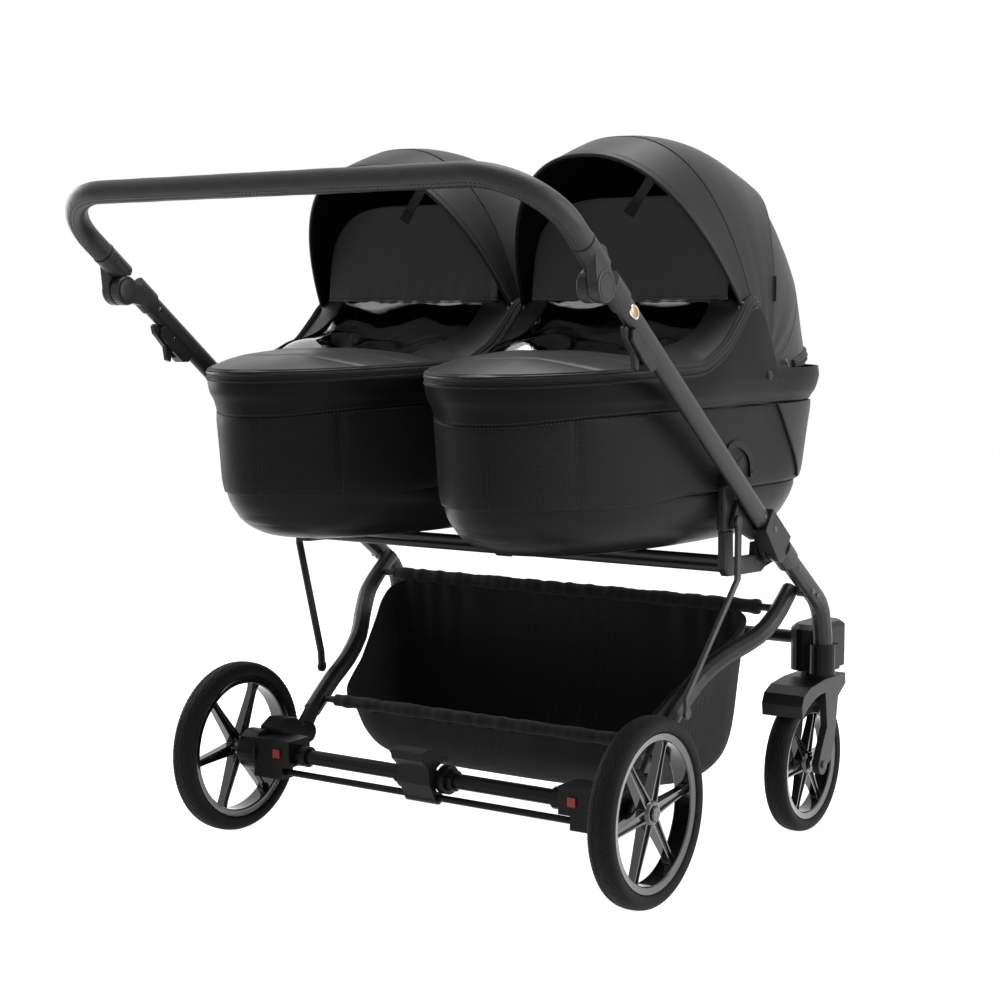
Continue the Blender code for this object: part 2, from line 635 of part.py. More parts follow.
def make_wheel_release():
    """The red quick-release button of the rear wheel."""
    return block("wheel_release_right", (0.2756, -0.0305, 0.1380), (0.2896, -0.0190, 0.1520), "red_button")


def make_rear_axle():
    """The rear cross tube with the two collars either side of the brake pedal."""
    reach = 0.2500 - GAP
    axle = drum("rear_axle", -reach, reach, 0, REAR_WHEEL_R, 0.0120, "frame_coat", 16)
    for side in (1, -1):
        join(axle, drum("flange", side * 0.0310, side * 0.0450, 0, REAR_WHEEL_R, 0.0225),
             drum("collar", side * 0.0440, side * 0.0560, 0, REAR_WHEEL_R, 0.0165, sides=16))
    return axle


def make_brake_pedal():
    """The brake pedal: a shell behind the axle that turns with the brake rod."""
    outline = arc(BRAKE_Y, BRAKE_Z, 0.0105, 180, 380, 8)
    outline += [(-0.0165, 0.124), (-0.0195, 0.140), (-0.0150, 0.160), (0.0020, 0.1680), (0.0160, 0.1650)]
    outline += [(0.0140, 0.1740), (-0.0080, 0.1800), (-0.0350, 0.1930), (-0.0560, 0.1900), (-0.0530, 0.1760)]
    outline += [(-0.0370, 0.1620), (-0.0340, 0.1350)]
    pedal = plate("brake_pedal", outline, -0.0295, 0.0295, "black_plastic")
    return cut(pedal, drum("rod_room", -0.05, 0.05, BRAKE_Y, BRAKE_Z, 0.0055 + GAP, sides=12))


def make_brake_rod():
    """The rod that carries the pedal's turn to both hubs."""
    return drum("brake_rod", -0.2896, 0.2896, BRAKE_Y, BRAKE_Z, 0.0055, "frame_coat", 12)


# Wheels


def tyre_profile(half_width, bead_radius, tread_radius):
    """The tyre's section: flat bead, bulging walls and a crowned tread."""
    wall = tread_radius - bead_radius
    shape = [(-0.78, 0.0), (-1.0, 0.40), (-0.86, 0.78), (-0.46, 1.0)]
    shape += [(0.46, 1.0), (0.86, 0.78), (1.0, 0.40), (0.78, 0.0)]
    return [(x * half_width, bead_radius + h * wall) for x, h in shape]


def rim_profile(half_width, outer, inner):
    """The rim band's section."""
    return [(-half_width, outer), (-half_width, inner), (half_width, inner), (half_width, outer)]


def make_wheel(prefix, x, y, radius, width, tread, hub_span, cap):
    """A tyre and a six-spoke rim; tread is the depth from the ground to the rim."""
    rim_outer = radius - tread
    tyre = turned(f"{prefix}_tyre_right", tyre_profile(width / 2, rim_outer + 0.0004, radius), x, y, radius,
                  "tyre_rubber", 32)
    rim = turned(f"{prefix}_rim_right", rim_profile(width * 0.38, rim_outer, rim_outer - 0.0085), x, y, radius,
                 "gloss_rim", 32)
    spokes = []
    # Each end of a spoke: distance out, half width across, half thickness, shift along the axle
    spoke_ends = ((0.010, 0.0085, 0.0070, 0.003), (rim_outer - 0.0055, 0.0062, 0.0050, 0.0))
    for number in range(6):
        angle = math.radians(60 * number + 7)
        outward = Vector((0, math.cos(angle), math.sin(angle)))
        across = Vector((0, -math.sin(angle), math.cos(angle)))
        hub = at(x, y, radius)
        rings = []
        for reach, half_across, half_x, shift in spoke_ends:
            centre = hub + outward * reach + Vector((shift, 0, 0))
            rings.append([centre + across * (half_across * u) + Vector((half_x * v, 0, 0))
                          for u, v in ((1, 1), (-1, 1), (-1, -1), (1, -1))])
        spokes.append(loft("spoke", rings))
    hub = drum("hub", x + hub_span[0], x + hub_span[1], y, radius, 0.0190)
    cap_drum = drum("cap", x + hub_span[1] - 0.002, x + hub_span[1] + cap, y, radius, 0.0115, sides=16)
    join(rim, hub, *spokes)
    join(rim, cap_drum)
    return tyre, rim


# Shopping basket

BASKET_ROD_REAR = (0.138, 0.2050)
BASKET_ROD_FRONT = (0.402, 0.387)
BASKET_SIDE_Y = (0.138, 0.184, 0.220, 0.250, 0.300, 0.340, 0.390)
BASKET_SIDE_X = (0.294, 0.297, 0.303, 0.313, 0.334, 0.352, 0.368)


def basket_ring(rear, front, narrow, squareness):
    """A closed ring of the basket; rear and front are (y, z) and narrow its inset in X."""
    ring = []
    steps = 36
    for number in range(steps):
        t = 2 * math.pi * (number + 0.5) / steps
        across = float(signed_power(math.cos(t), 2 / squareness))
        along = float(signed_power(math.sin(t), 2 / squareness)) * 0.5 + 0.5
        y = rear[0] + (front[0] - rear[0]) * along
        z = rear[1] + (front[1] - rear[1]) * along
        top_y = BASKET_ROD_REAR[0] + (BASKET_ROD_FRONT[0] - BASKET_ROD_REAR[0]) * along
        half = float(np.interp(top_y, BASKET_SIDE_Y, BASKET_SIDE_X)) - narrow
        ring.append(at(across * half, y, z))
    return ring


def make_basket():
    """The cloth basket slung between two rods, open at the top, with a hem round each rod."""
    wall = 0.0025
    front_y, front_z = BASKET_ROD_FRONT
    rear_y, rear_z = BASKET_ROD_REAR
    levels = [((0.200, 0.106), (0.355, 0.103), 0.075, 3.0), ((0.167, 0.120), (0.392, 0.126), 0.042, 4.0),
              ((0.146, 0.150), (0.414, 0.180), 0.024, 5.5), ((0.138, 0.185), (0.414, 0.300), 0.012, 7.0),
              ((rear_y, rear_z), (front_y, front_z), 0.0, 8.0)]
    outer = [basket_ring(*level) for level in levels]
    inner = []
    for rear, front, narrow, squareness in levels[::-1]:
        lift = wall if rear[1] < 0.15 else 0.0
        inner.append(basket_ring((rear[0] + wall, rear[1] + lift), (front[0] - wall, front[1] + lift),
                                 narrow + wall, squareness))
    basket = loft("basket", outer + inner, "basket_cloth")
    front_hem = drum("front_hem", -0.366, 0.366, front_y, front_z, 0.0125, sides=12)
    rear_hem = drum("rear_hem", -0.292, 0.292, rear_y, rear_z, 0.0115, sides=12)
    join(basket, front_hem, rear_hem)
    front_room = drum("front_room", -0.40, 0.40, front_y, front_z, 0.006 + GAP * 2, sides=12)
    rear_room = drum("rear_room", -0.33, 0.33, rear_y, rear_z, 0.006 + GAP * 2, sides=12)
    return cut(basket, front_room, rear_room)


def make_basket_rods():
    """The two steel rods between the rear legs."""
    drum("basket_rod_front", -0.3880, 0.3880, *BASKET_ROD_FRONT, 0.006, "frame_coat", 12)
    drum("basket_rod_rear", -0.3140, 0.3140, *BASKET_ROD_REAR, 0.006, "frame_coat", 12)


# Carrycots

EDGE_Y = (-0.30, 0.100, 0.151, 0.191, 0.231, 0.257, 0.281, 0.305, 0.330, 0.350, 0.450)
EDGE_Z = (0.760, 0.760, 0.780, 0.801, 0.835, 0.860, 0.868, 0.858, 0.820, 0.782, 0.772)


def cot_ring(half_width, foot_y, head_y, z, follow_edge=False, drop=0.0):
    """A plan ring of the carrycot: a long oval foot end, straight sides and a squarish round head end."""
    foot_depth = min(COT_FOOT_DEPTH, head_y - foot_y - COT_HEAD_DEPTH - 0.020)
    foot_base, head_base = foot_y + foot_depth, head_y - COT_HEAD_DEPTH
    head = [(half_width * signed_power(math.cos(t), 2 / COT_HEAD_POWER),
             head_base + COT_HEAD_DEPTH * signed_power(math.sin(t), 2 / COT_HEAD_POWER))
            for t in np.linspace(0, math.pi, 13)]
    side_steps = np.linspace(0, 1, 4)[1:-1]
    left = [(-half_width, head_base + (foot_base - head_base) * t) for t in side_steps]
    foot = [(-half_width * signed_power(math.cos(t), 2 / COT_FOOT_POWER),
             foot_base - foot_depth * signed_power(math.sin(t), 2 / COT_FOOT_POWER))
            for t in np.linspace(0, math.pi, 27)]
    right = [(half_width, foot_base + (head_base - foot_base) * t) for t in side_steps]
    ring = []
    for x, y in head + left + foot + right:
        height = float(np.interp(y, EDGE_Y, EDGE_Z)) - drop if follow_edge else z
        ring.append(at(COT_X + float(x), float(y), height))
    return ring


COT_LEVELS = [(0.112, -0.050, 0.450, 0.505), (0.162, -0.118, 0.520, 0.519), (0.186, -0.163, 0.568, 0.560),
              (0.1905, -0.173, 0.583, 0.590), (0.1955, -0.184, 0.610, 0.705), (0.2030, -0.195, 0.622, 0.735),
              (0.2075, -0.200, 0.628, 0.757)]
COT_FLOOR_Z = 0.522


def make_cot_tub():
    """The carrycot's body: rounded base, padded walls and the ears beside the hood."""
    outer = [cot_ring(*level) for level in COT_LEVELS]
    rim_foot, rim_head = -0.200, 0.628
    outer.append(cot_ring(COT_HALF_WIDTH, rim_foot, rim_head, 0, True))
    inner = [cot_ring(COT_HALF_WIDTH - 0.003, rim_foot + 0.003, rim_head - 0.003, 0, True)]
    for half_width, foot_y, head_y, z in COT_LEVELS[:2:-1]:
        wall = 0.003 if z > 0.75 else COT_WALL
        inner.append(cot_ring(half_width - wall, foot_y + wall, head_y - wall, z))
    inner.append(cot_ring(0.176, -0.147, 0.550, COT_FLOOR_Z + 0.03))
    inner.append(cot_ring(0.140, -0.090, 0.490, COT_FLOOR_Z))
    tub = loft("cot_tub_right", outer + inner, "perforated_side")
    lug = block("side_lug", (0.395, 0.190, 0.600 + GAP), (0.4160, 0.216, 0.630), edge=0.002)
    return join(tub, lug)


def make_apron():
    """The padded cover over the foot end, crowned in the middle."""
    rows, columns = 9, 11
    back_y, front_y = -0.1995, 0.0500
    edge_low, edge_high, crown = COT_RIM_Z + GAP * 2, 0.771, 0.026
    top = np.zeros((rows, columns, 3))
    bottom = np.zeros((rows, columns, 3))
    for i, v in enumerate(np.linspace(0, 1, rows)):
        eased = v ** 1.6
        y = back_y + (front_y - back_y) * eased
        inset = max(1 - (y - back_y) / COT_FOOT_DEPTH, 0)
        half = max(0.206 * math.sqrt(1 - inset ** 2), 0.030)
        for j, u in enumerate(np.linspace(-1, 1, columns)):
            across = math.sin(u * math.pi / 2)
            dome = (1 - abs(across) ** 2.4) * (1 - (1 - eased) ** 4) * (1 - 0.30 * eased ** 3)
            top[i, j] = at(COT_X + across * half, y, edge_high + crown * dome)
            bottom[i, j] = at(COT_X + across * half, y, edge_low)
    return sheet_solid("apron_right", top, bottom, "leatherette")


def make_window_flap():
    """The clear weather flap between the apron and the hood, with its cloth side strips."""
    line = [(0.0508, 0.7750, 0.181), (0.080, 0.7900, 0.186), (0.120, 0.8030, 0.192), (0.165, 0.8170, 0.197),
            (0.205, 0.8370, 0.199), (0.238, 0.8740, 0.200)]
    across = np.linspace(1, -1, 5)
    outer = [[at(COT_X + half * float(u), y, z) for u in across] for y, z, half in line]
    inner = [[at(COT_X + half * float(u), y + 0.0021, z - 0.0021) for u in across] for y, z, half in line]
    return sheet_solid("window_flap_right", np.array(outer), np.array(inner), "clear_film")


HOOD_ANGLES = (-87.3, -72.0, -57.4, -42.8, -27.6, -15.4, -0.8, 12.0, 22.3, 32.0)
HOOD_RADII = (0.3223, 0.3207, 0.332, 0.346, 0.3566, 0.357, 0.366, 0.3752, 0.3826, 0.3885)
SQUARE_ANGLES = (-87.0, -28.0, 0.0, 32.0)
SQUARE_POWERS = (2.6, 2.5, 2.45, 2.25)


def hood_grid(first_deg, last_deg, half_width, sink, inset):
    """Arches over the cot, fanned about the hood's pivot line and sunk by a step, as a grid of points."""
    rows, columns = 7, 19
    grid = np.zeros((rows, columns, 3))
    for i, angle_deg in enumerate(np.linspace(first_deg, last_deg, rows)):
        radius = float(np.interp(angle_deg, HOOD_ANGLES, HOOD_RADII)) - sink - inset
        power = 2 / float(np.interp(angle_deg, SQUARE_ANGLES, SQUARE_POWERS))
        lean = math.radians(angle_deg)
        for j, v in enumerate(np.radians(np.linspace(3, 177, columns))):
            reach = radius * math.sin(v) ** power
            x = COT_X + (half_width - inset) * float(signed_power(math.cos(v), power))
            grid[i, j] = at(x, HOOD_Y - reach * math.sin(lean), HOOD_Z + reach * math.cos(lean))
    return grid


def make_hood_front():
    """The hood's visor and front panel, which swing back over the rear panel."""
    outer = hood_grid(RIM_ANGLE, SEAM_ANGLE, HOOD_FRONT_WIDTH, 0.0, 0.0)
    inner = hood_grid(RIM_ANGLE, SEAM_ANGLE, HOOD_FRONT_WIDTH, 0.0, HOOD_SHELL)
    return sheet_solid("hood_front_right", outer, inner, "leatherette")


def make_hood_rear():
    """The hood's rear panel, fixed to the tub."""
    outer = hood_grid(SEAM_ANGLE - HOOD_SPLIT, TAIL_ANGLE, HOOD_REAR_WIDTH, HOOD_SINK, 0.0)
    inner = hood_grid(SEAM_ANGLE - HOOD_SPLIT, TAIL_ANGLE, HOOD_REAR_WIDTH, HOOD_SINK, HOOD_SHELL)
    return sheet_solid("hood_rear_right", outer, inner, "leatherette")


# Assembly


def make_pairs():
    """Every piece that the pram has on both sides."""
    pieces = [make_handle_tube(), make_hinge_upper(), make_front_leg(), make_swivel_housing(), make_fork(),
              make_seat_bracket(), make_cot_adaptor(), make_release_housing(), make_release_lever(),
              make_handle_knuckle(), make_tilt_button(), make_link(), make_rear_leg(), make_hub_housing(),
              make_wheel_release(), make_cot_tub(), make_apron(), make_window_flap(), make_hood_front(),
              make_hood_rear()]
    pieces += make_wheel("rear", REAR_WHEEL_X, 0, REAR_WHEEL_R, TYRE_WIDTH, 0.026, (-0.0255, 0.0120), 0.0050)
    pieces += make_wheel("front", FRONT_WHEEL_X, WHEELBASE, FRONT_WHEEL_R, FRONT_TYRE_WIDTH, 0.0235,
                         (-0.0230, 0.0215), 0.0010)
    for piece in pieces:
        twin(piece)


def make_singles():
    """Every piece that the pram has once."""
    make_front_cross_tube()
    make_seat_cross_tubes()
    make_handlebar()
    make_grip()
    make_badge()
    make_rear_axle()
    make_brake_pedal()
    make_brake_rod()
    make_basket()
    make_basket_rods()


def hang(pivot_name, place, names, parent=None):
    """Put an empty on a joint's axis and carry the named pieces from it."""
    pivot = bpy.data.objects.new(pivot_name, None)
    PRAM.objects.link(pivot)
    pivot.location = place
    if parent:
        pivot.parent = parent
        pivot.location = place - parent.matrix_world.translation
    bpy.context.view_layer.update()
    for name in names:
        piece = bpy.data.objects[name]
        piece.data.transform(Matrix.Translation(-place))
        piece.parent = pivot
    return pivot


def both(*stems):
    """The right and left names of each stem."""
    return [f"{stem}_{side}" for stem in stems for side in ("right", "left")]


def hang_moving_pieces():
    """Carry each moving piece from its joint."""
    link_y, link_z = tube_yz(LINK_S, LINK_P)
    upper = hang("frame_fold", at(0, *tube_yz(HINGE_S, HINGE_P)),
                 both("handle_tube", "hinge_upper", "release_housing", "handle_knuckle") + ["badge_right"])
    hang("link_fold", at(0, link_y, link_z), both("link"), upper)
    hang("handle_tilt", at(0, KNOB_Y, KNOB_Z), ["handlebar", "grip"], upper)
    legs = hang("rear_leg_fold", at(0, REAR_LEG_Y, REAR_LEG_Z),
                both("rear_leg") + ["basket", "basket_rod_front", "basket_rod_rear"])
    axle = hang("suspension", at(0, SUSPENSION_Y, SUSPENSION_Z), both("hub_housing") + ["rear_axle"], legs)
    hang("brake", at(0, BRAKE_Y, BRAKE_Z), ["brake_pedal", "brake_rod"], axle)
    for side, sign in (("right", 1), ("left", -1)):
        hang(f"release_{side}", at(sign * SIDE_X, *tube_yz(LEVER_S, LEVER_P)), [f"release_lever_{side}"], upper)
        hang(f"tilt_push_{side}", at(sign * 0.4158, KNOB_Y, KNOB_Z), [f"tilt_button_{side}"], upper)
        hang(f"wheel_push_{side}", at(sign * 0.2826, -0.025, 0.145), [f"wheel_release_{side}"], axle)
        hang(f"rear_wheel_{side}", at(sign * REAR_WHEEL_X, 0, REAR_WHEEL_R),
             [f"rear_tyre_{side}", f"rear_rim_{side}"], axle)
        swivel = hang(f"swivel_{side}", at(sign * FRONT_WHEEL_X, WHEELBASE + TRAIL, 0.2624), [f"fork_{side}"])
        hang(f"front_wheel_{side}", at(sign * FRONT_WHEEL_X, WHEELBASE, FRONT_WHEEL_R),
             [f"front_tyre_{side}", f"front_rim_{side}"], swivel)
        cot = hang(f"cot_{side}", at(sign * COT_X, HOOD_Y, COT_LEVELS[0][3]),
                   [f"cot_tub_{side}", f"apron_{side}", f"window_flap_{side}", f"hood_rear_{side}"])
        hang(f"hood_{side}", at(sign * COT_X, HOOD_Y, HOOD_Z), [f"hood_front_{side}"], cot)


make_pairs()
make_singles()
hang_moving_pieces()
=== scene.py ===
# %% [markdown]
# # A twin pram in near-black
#
# Two carrycots ride side by side on one folding chassis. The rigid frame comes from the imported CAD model,
# and this notebook dresses it: cloth, leatherette, film, rubber and metal, each as a surface worked out
# with numpy. Every step says what the real piece is, how it could be made, and why this way was chosen.

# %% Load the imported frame
import functools
import json
import math
from collections import namedtuple

import bmesh
import bpy
import numpy as np
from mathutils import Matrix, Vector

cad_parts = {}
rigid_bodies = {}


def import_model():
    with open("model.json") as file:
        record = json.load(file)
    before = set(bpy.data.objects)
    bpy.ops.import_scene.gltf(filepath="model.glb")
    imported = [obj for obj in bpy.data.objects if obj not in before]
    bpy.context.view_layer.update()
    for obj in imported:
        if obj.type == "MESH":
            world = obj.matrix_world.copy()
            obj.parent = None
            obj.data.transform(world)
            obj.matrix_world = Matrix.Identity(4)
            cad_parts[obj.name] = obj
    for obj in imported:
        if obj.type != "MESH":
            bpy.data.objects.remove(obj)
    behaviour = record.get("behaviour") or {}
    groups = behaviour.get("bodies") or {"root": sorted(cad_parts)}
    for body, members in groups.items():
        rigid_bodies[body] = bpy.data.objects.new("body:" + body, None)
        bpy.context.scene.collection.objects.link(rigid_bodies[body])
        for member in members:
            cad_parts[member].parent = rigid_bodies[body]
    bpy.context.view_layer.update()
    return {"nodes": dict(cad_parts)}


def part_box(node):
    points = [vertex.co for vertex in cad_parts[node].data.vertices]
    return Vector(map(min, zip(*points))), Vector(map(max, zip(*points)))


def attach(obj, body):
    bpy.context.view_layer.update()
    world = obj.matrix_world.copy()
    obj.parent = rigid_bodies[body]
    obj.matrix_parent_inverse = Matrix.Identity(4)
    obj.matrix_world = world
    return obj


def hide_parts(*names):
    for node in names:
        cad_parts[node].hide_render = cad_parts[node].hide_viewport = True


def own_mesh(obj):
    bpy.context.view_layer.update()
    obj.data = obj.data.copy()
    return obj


for stray in list(bpy.data.objects):
    bpy.data.objects.remove(stray)
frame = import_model()
wheel_low, wheel_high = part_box("rear_tyre_right")
AXLE_Y = (wheel_low.y + wheel_high.y) / 2
print("rear axle at y =", round(AXLE_Y, 4), "nodes:", len(frame["nodes"]))

# %% [markdown]
# ## Surfaces as grids of points
#
# A pram is mostly cloth and tube, and both are functions of two parameters: along and across. So each
# piece here is a grid of points in one numpy array. A small record keeps the points, the faces between
# them and the cloth coordinates of each face corner; several such shapes can go into one mesh. Lengths
# are metres, and y is measured from the rear axle's line, which is the easiest line to measure from.

# %% Shapes: points, faces and cloth coordinates
Shape = namedtuple("Shape", "points faces corners")


def grid_shape(points, wrap_rows=False, wrap_columns=False, cloth=None, caps=False):
    """Joins neighbouring grid points i,j - i+1,j - i+1,j+1 - i,j+1 into faces; caps closes both end rows."""
    rows, columns = points.shape[:2]
    i, j = np.meshgrid(np.arange(rows - (not wrap_rows)), np.arange(columns - (not wrap_columns)),
                       indexing="ij")
    corner_rows = np.stack([i, i + 1, i + 1, i], -1).reshape(-1, 4)
    corner_columns = np.stack([j, j, j + 1, j + 1], -1).reshape(-1, 4)
    faces = ((corner_rows % rows) * columns + corner_columns % columns).tolist()
    if cloth is None:
        corners = np.zeros((len(faces) * 4, 2))
    else:
        corners = cloth[corner_rows, corner_columns].reshape(-1, 2)
    if caps:
        faces.append(list(range(columns)))
        faces.append(list(range(rows * columns - 1, (rows - 1) * columns - 1, -1)))
        corners = np.vstack([corners, np.zeros((2 * columns, 2))])
    return Shape(points.reshape(-1, 3), faces, corners)


def moved(shape, x=0.0, y=0.0, z=0.0):
    """The same shape, shifted."""
    return Shape(shape.points + np.array([x, y, z]), shape.faces, shape.corners)


def mirrored(shape):
    """The same shape on the other side: x changes sign, and the faces turn so that they still point out."""
    starts = np.cumsum([0] + [len(face) for face in shape.faces])
    order = np.concatenate([np.arange(end - 1, start - 1, -1) for start, end in zip(starts, starts[1:])])
    return Shape(shape.points * (-1, 1, 1), [face[::-1] for face in shape.faces], shape.corners[order])


def unit(vectors):
    """Each vector divided by its length."""
    return vectors / np.maximum(np.linalg.norm(vectors, axis=-1, keepdims=True), 1e-12)


def distances(path):
    """How far along the path each of its points lies."""
    return np.concatenate([[0], np.cumsum(np.linalg.norm(np.diff(path, axis=0), axis=1))])


def evenly(path, count, closed=False):
    """The path again with count points at equal distances along it."""
    path = np.asarray(path, float)
    if closed:
        path = np.vstack([path, path[:1]])
    lengths = distances(path)
    wanted = np.linspace(0, lengths[-1], count + 1)[:-1] if closed else np.linspace(0, lengths[-1], count)
    return np.stack([np.interp(wanted, lengths, axis) for axis in path.T], -1)


def smooth_rows(rows, count, closed=False):
    """A Catmull-Rom curve through rows of numbers: each stretch is a cubic whose slopes come from its
    neighbours."""
    rows = np.asarray(rows, float)
    if closed:
        padded_rows = np.vstack([rows[-1:], rows, rows[:2]])
    else:
        padded_rows = np.vstack([2 * rows[0] - rows[1], rows, 2 * rows[-1] - rows[-2]])
    t = np.linspace(0, len(padded_rows) - 3, count, endpoint=not closed)
    k = np.minimum(t.astype(int), len(padded_rows) - 4)
    f = (t - k)[:, None]
    a, b, c, d = (padded_rows[k + step] for step in range(4))
    return 0.5 * (2 * b + (c - a) * f + (2 * a - 5 * b + 4 * c - d) * f ** 2 + (3 * b - a - 3 * c + d)
                  * f ** 3)


def smooth_value(x, known_x, known_y):
    """A smooth curve through known points, read at x."""
    fine = smooth_rows(np.stack([known_x, known_y], -1), 40 * len(known_x))
    order = np.argsort(fine[:, 0])
    return np.interp(x, fine[order, 0], fine[order, 1])


def cloth_grid(along, around):
    """Cloth coordinates for each place along with each place around."""
    return np.stack(np.meshgrid(along, around, indexing="ij"), -1)


def circle(radius, steps, squash=1.0):
    """Points round a circle, as (across, up)."""
    t = np.linspace(0, 2 * np.pi, steps, endpoint=False)
    return np.stack([radius * np.cos(t), radius * squash * np.sin(t)], -1)


def sweep(path, section, up=(0.0, 0.0, 1.0), closed=False, scale=None):
    """Carries a section (across, up) along a path. At each point across = tangent x up, so it never
    twists."""
    path = np.asarray(path, float)
    ahead = np.roll(path, -1, 0) - np.roll(path, 1, 0) if closed else np.gradient(path, axis=0)
    tangent = unit(ahead)
    across = unit(np.cross(tangent, np.broadcast_to(np.asarray(up, float), path.shape)))
    normal = np.cross(across, tangent)
    size = np.ones(len(path)) if scale is None else np.asarray(scale, float)
    section = np.asarray(section, float)
    points = (path[:, None] + (across[:, None] * section[None, :, :1] + normal[:, None]
                               * section[None, :, 1:]) * size[:, None, None])
    around = distances(np.vstack([section, section[:1]]))
    along = distances(np.vstack([path, path[:1]]) if closed else path)
    cloth = cloth_grid(along, around)
    return grid_shape(points, wrap_rows=closed, wrap_columns=True, cloth=cloth, caps=not closed)


def turned(profile, centre, axis="x", steps=48):
    """Spins a profile of (distance from the axis, place along it) round the axis through centre."""
    profile = np.asarray(profile, float)
    t = np.linspace(0, 2 * np.pi, steps, endpoint=False)
    radius = profile[:, :1]
    first, second, along = radius * np.cos(t), radius * np.sin(t), np.repeat(profile[:, 1:], steps, 1)
    parts = {"x": (along, first, second), "y": (second, along, first), "z": (first, second, along)}[axis]
    cloth = cloth_grid(distances(profile), np.linspace(0, 2 * np.pi * radius.max(), steps + 1))
    return grid_shape(np.stack(parts, -1) + np.asarray(centre), wrap_columns=True, cloth=cloth, caps=True)


def slab(outline, x0, x1):
    """A flat plate: an outline of (y, z) points carried from x0 to x1."""
    outline = np.asarray(outline, float)
    ends = [np.column_stack([np.full(len(outline), x), outline]) for x in (x0, x1)]
    return grid_shape(np.stack(ends), wrap_columns=True, caps=True)


# %% [markdown]
# ## From shapes to pieces
#
# A piece is one mesh that moves with one body of the CAD model. Doubled points at poles and seams are
# merged, so that nothing is left open, and normals are recalculated while closed shapes are still
# simple. Walls and rounded edges come after that as modifiers.

# %% Make a piece
made = []


def mesh_object(name, shapes, closed=True):
    """One mesh object from several shapes, its place in its points and its origin at the world's."""
    shapes = shapes if isinstance(shapes, list) else [shapes]
    starts = np.cumsum([0] + [len(shape.points) for shape in shapes])
    points = np.vstack([shape.points for shape in shapes]) + (0, AXLE_Y, 0)
    faces = [[index + int(start) for index in face] for shape,
             start in zip(shapes, starts) for face in shape.faces]
    mesh = bpy.data.meshes.new(name)
    mesh.from_pydata(points.tolist(), [], faces)
    layer = mesh.uv_layers.new(name="cloth")
    layer.data.foreach_set("uv", np.vstack([shape.corners for shape in shapes]).astype(np.float32).ravel())

    work = bmesh.new()
    work.from_mesh(mesh)
    bmesh.ops.remove_doubles(work, verts=work.verts, dist=2e-6)
    bmesh.ops.dissolve_degenerate(work, edges=work.edges, dist=1e-7)
    if closed:
        bmesh.ops.recalc_face_normals(work, faces=work.faces)
    work.to_mesh(mesh)
    work.free()
    thing = bpy.data.objects.new(name, mesh)
    bpy.context.scene.collection.objects.link(thing)
    return thing


def piece(name, shapes, body, material, slot, closed=True, wall=0.0, edge=0.0, sharp=40, replaces=()):
    """A finished piece: mesh, wall thickness, rounded edges, finish and the body that it rides on."""
    thing = mesh_object(name, shapes, closed)
    thing.data.shade_smooth()
    if sharp:
        thing.data.set_sharp_from_angle(angle=math.radians(sharp))
    if wall:
        solidify = thing.modifiers.new("wall", "SOLIDIFY")
        solidify.thickness, solidify.offset = wall, -1
        solidify.use_even_offset = False
    if edge:
        bevel = thing.modifiers.new("edge", "BEVEL")
        bevel.width, bevel.segments = edge, 2
        bevel.limit_method, bevel.angle_limit = "ANGLE", math.radians(35)
        bevel.harden_normals = True
    thing.data.materials.append(material)
    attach(thing, body)
    if replaces:
        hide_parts(*replaces)
    made.append(name)
    return thing
# %% [markdown]
# ## The camera and the studio
#
# The camera stands where the photograph was taken from, behind the pram and to its right, and looks
# slightly down. The studio is white all round for the camera and for mirrors, while a weaker sky and
# two soft lamps light the cloth, so that a colour renders about as it is written.

# %% Camera
camera = bpy.data.objects.new("camera", bpy.data.cameras.new("camera"))
bpy.context.scene.collection.objects.link(camera)
camera.location = (1.7693, -2.3989 + AXLE_Y, 0.8534)
camera.rotation_euler = (math.radians(90 - 5.413), 0, math.radians(34.243))
camera.data.lens = 70.29
camera.data.sensor_width = 36
bpy.context.scene.camera = camera

# %% Studio light
SKY_STRENGTH = 0.13
FLOOR_LIFT = 0.93


def math_node(tree, operation, first, second=None, third=None):
    """One Math node; a number is set on the socket, anything else is linked to it."""
    node = tree.nodes.new("ShaderNodeMath")
    node.operation = operation
    for socket, value in zip(node.inputs, (first, second, third)):
        if isinstance(value, (int, float)):
            socket.default_value = value
        elif value is not None:
            tree.links.new(value, socket)
    return node.outputs[0]


def between(tree, value, low, high):
    """A number read from 0 to 1 becomes one from low to high."""
    node = tree.nodes.new("ShaderNodeMapRange")
    tree.links.new(value, node.inputs["Value"])
    node.inputs["To Min"].default_value, node.inputs["To Max"].default_value = low, high
    return node.outputs["Result"]


def white_to_eye(tree):
    """1 for rays from the camera, mirrors and glass, and 0 for the rays that light the cloth."""
    ray = tree.nodes.new("ShaderNodeLightPath").outputs
    either = math_node(tree, "MAXIMUM", ray["Is Camera Ray"], ray["Is Glossy Ray"])
    return math_node(tree, "MAXIMUM", either, ray["Is Transmission Ray"])


def make_world():
    """A white backdrop for the eye and a weaker sky for the light."""
    world = bpy.data.worlds.new("studio")
    world.use_nodes = True
    tree = world.node_tree
    background = tree.nodes["Background"]
    background.inputs["Color"].default_value = (1, 1, 1, 1)
    tree.links.new(between(tree, white_to_eye(tree), SKY_STRENGTH, 1.0), background.inputs["Strength"])
    bpy.context.scene.world = world


def soft_lamp(name, place, aim, width, height, watts):
    """A rectangular soft lamp at a place, turned towards a point."""
    lamp = bpy.data.lights.new(name, "AREA")
    lamp.shape, lamp.size, lamp.size_y, lamp.energy = "RECTANGLE", width, height, watts
    thing = bpy.data.objects.new(name, lamp)
    bpy.context.scene.collection.objects.link(thing)
    thing.location = place
    direction = np.array(aim, float) - np.array(place, float)
    distance = np.linalg.norm(direction)
    pitch = math.acos(-direction[2] / distance)
    thing.rotation_euler = (pitch, 0, math.atan2(direction[1], direction[0]) - math.pi / 2)


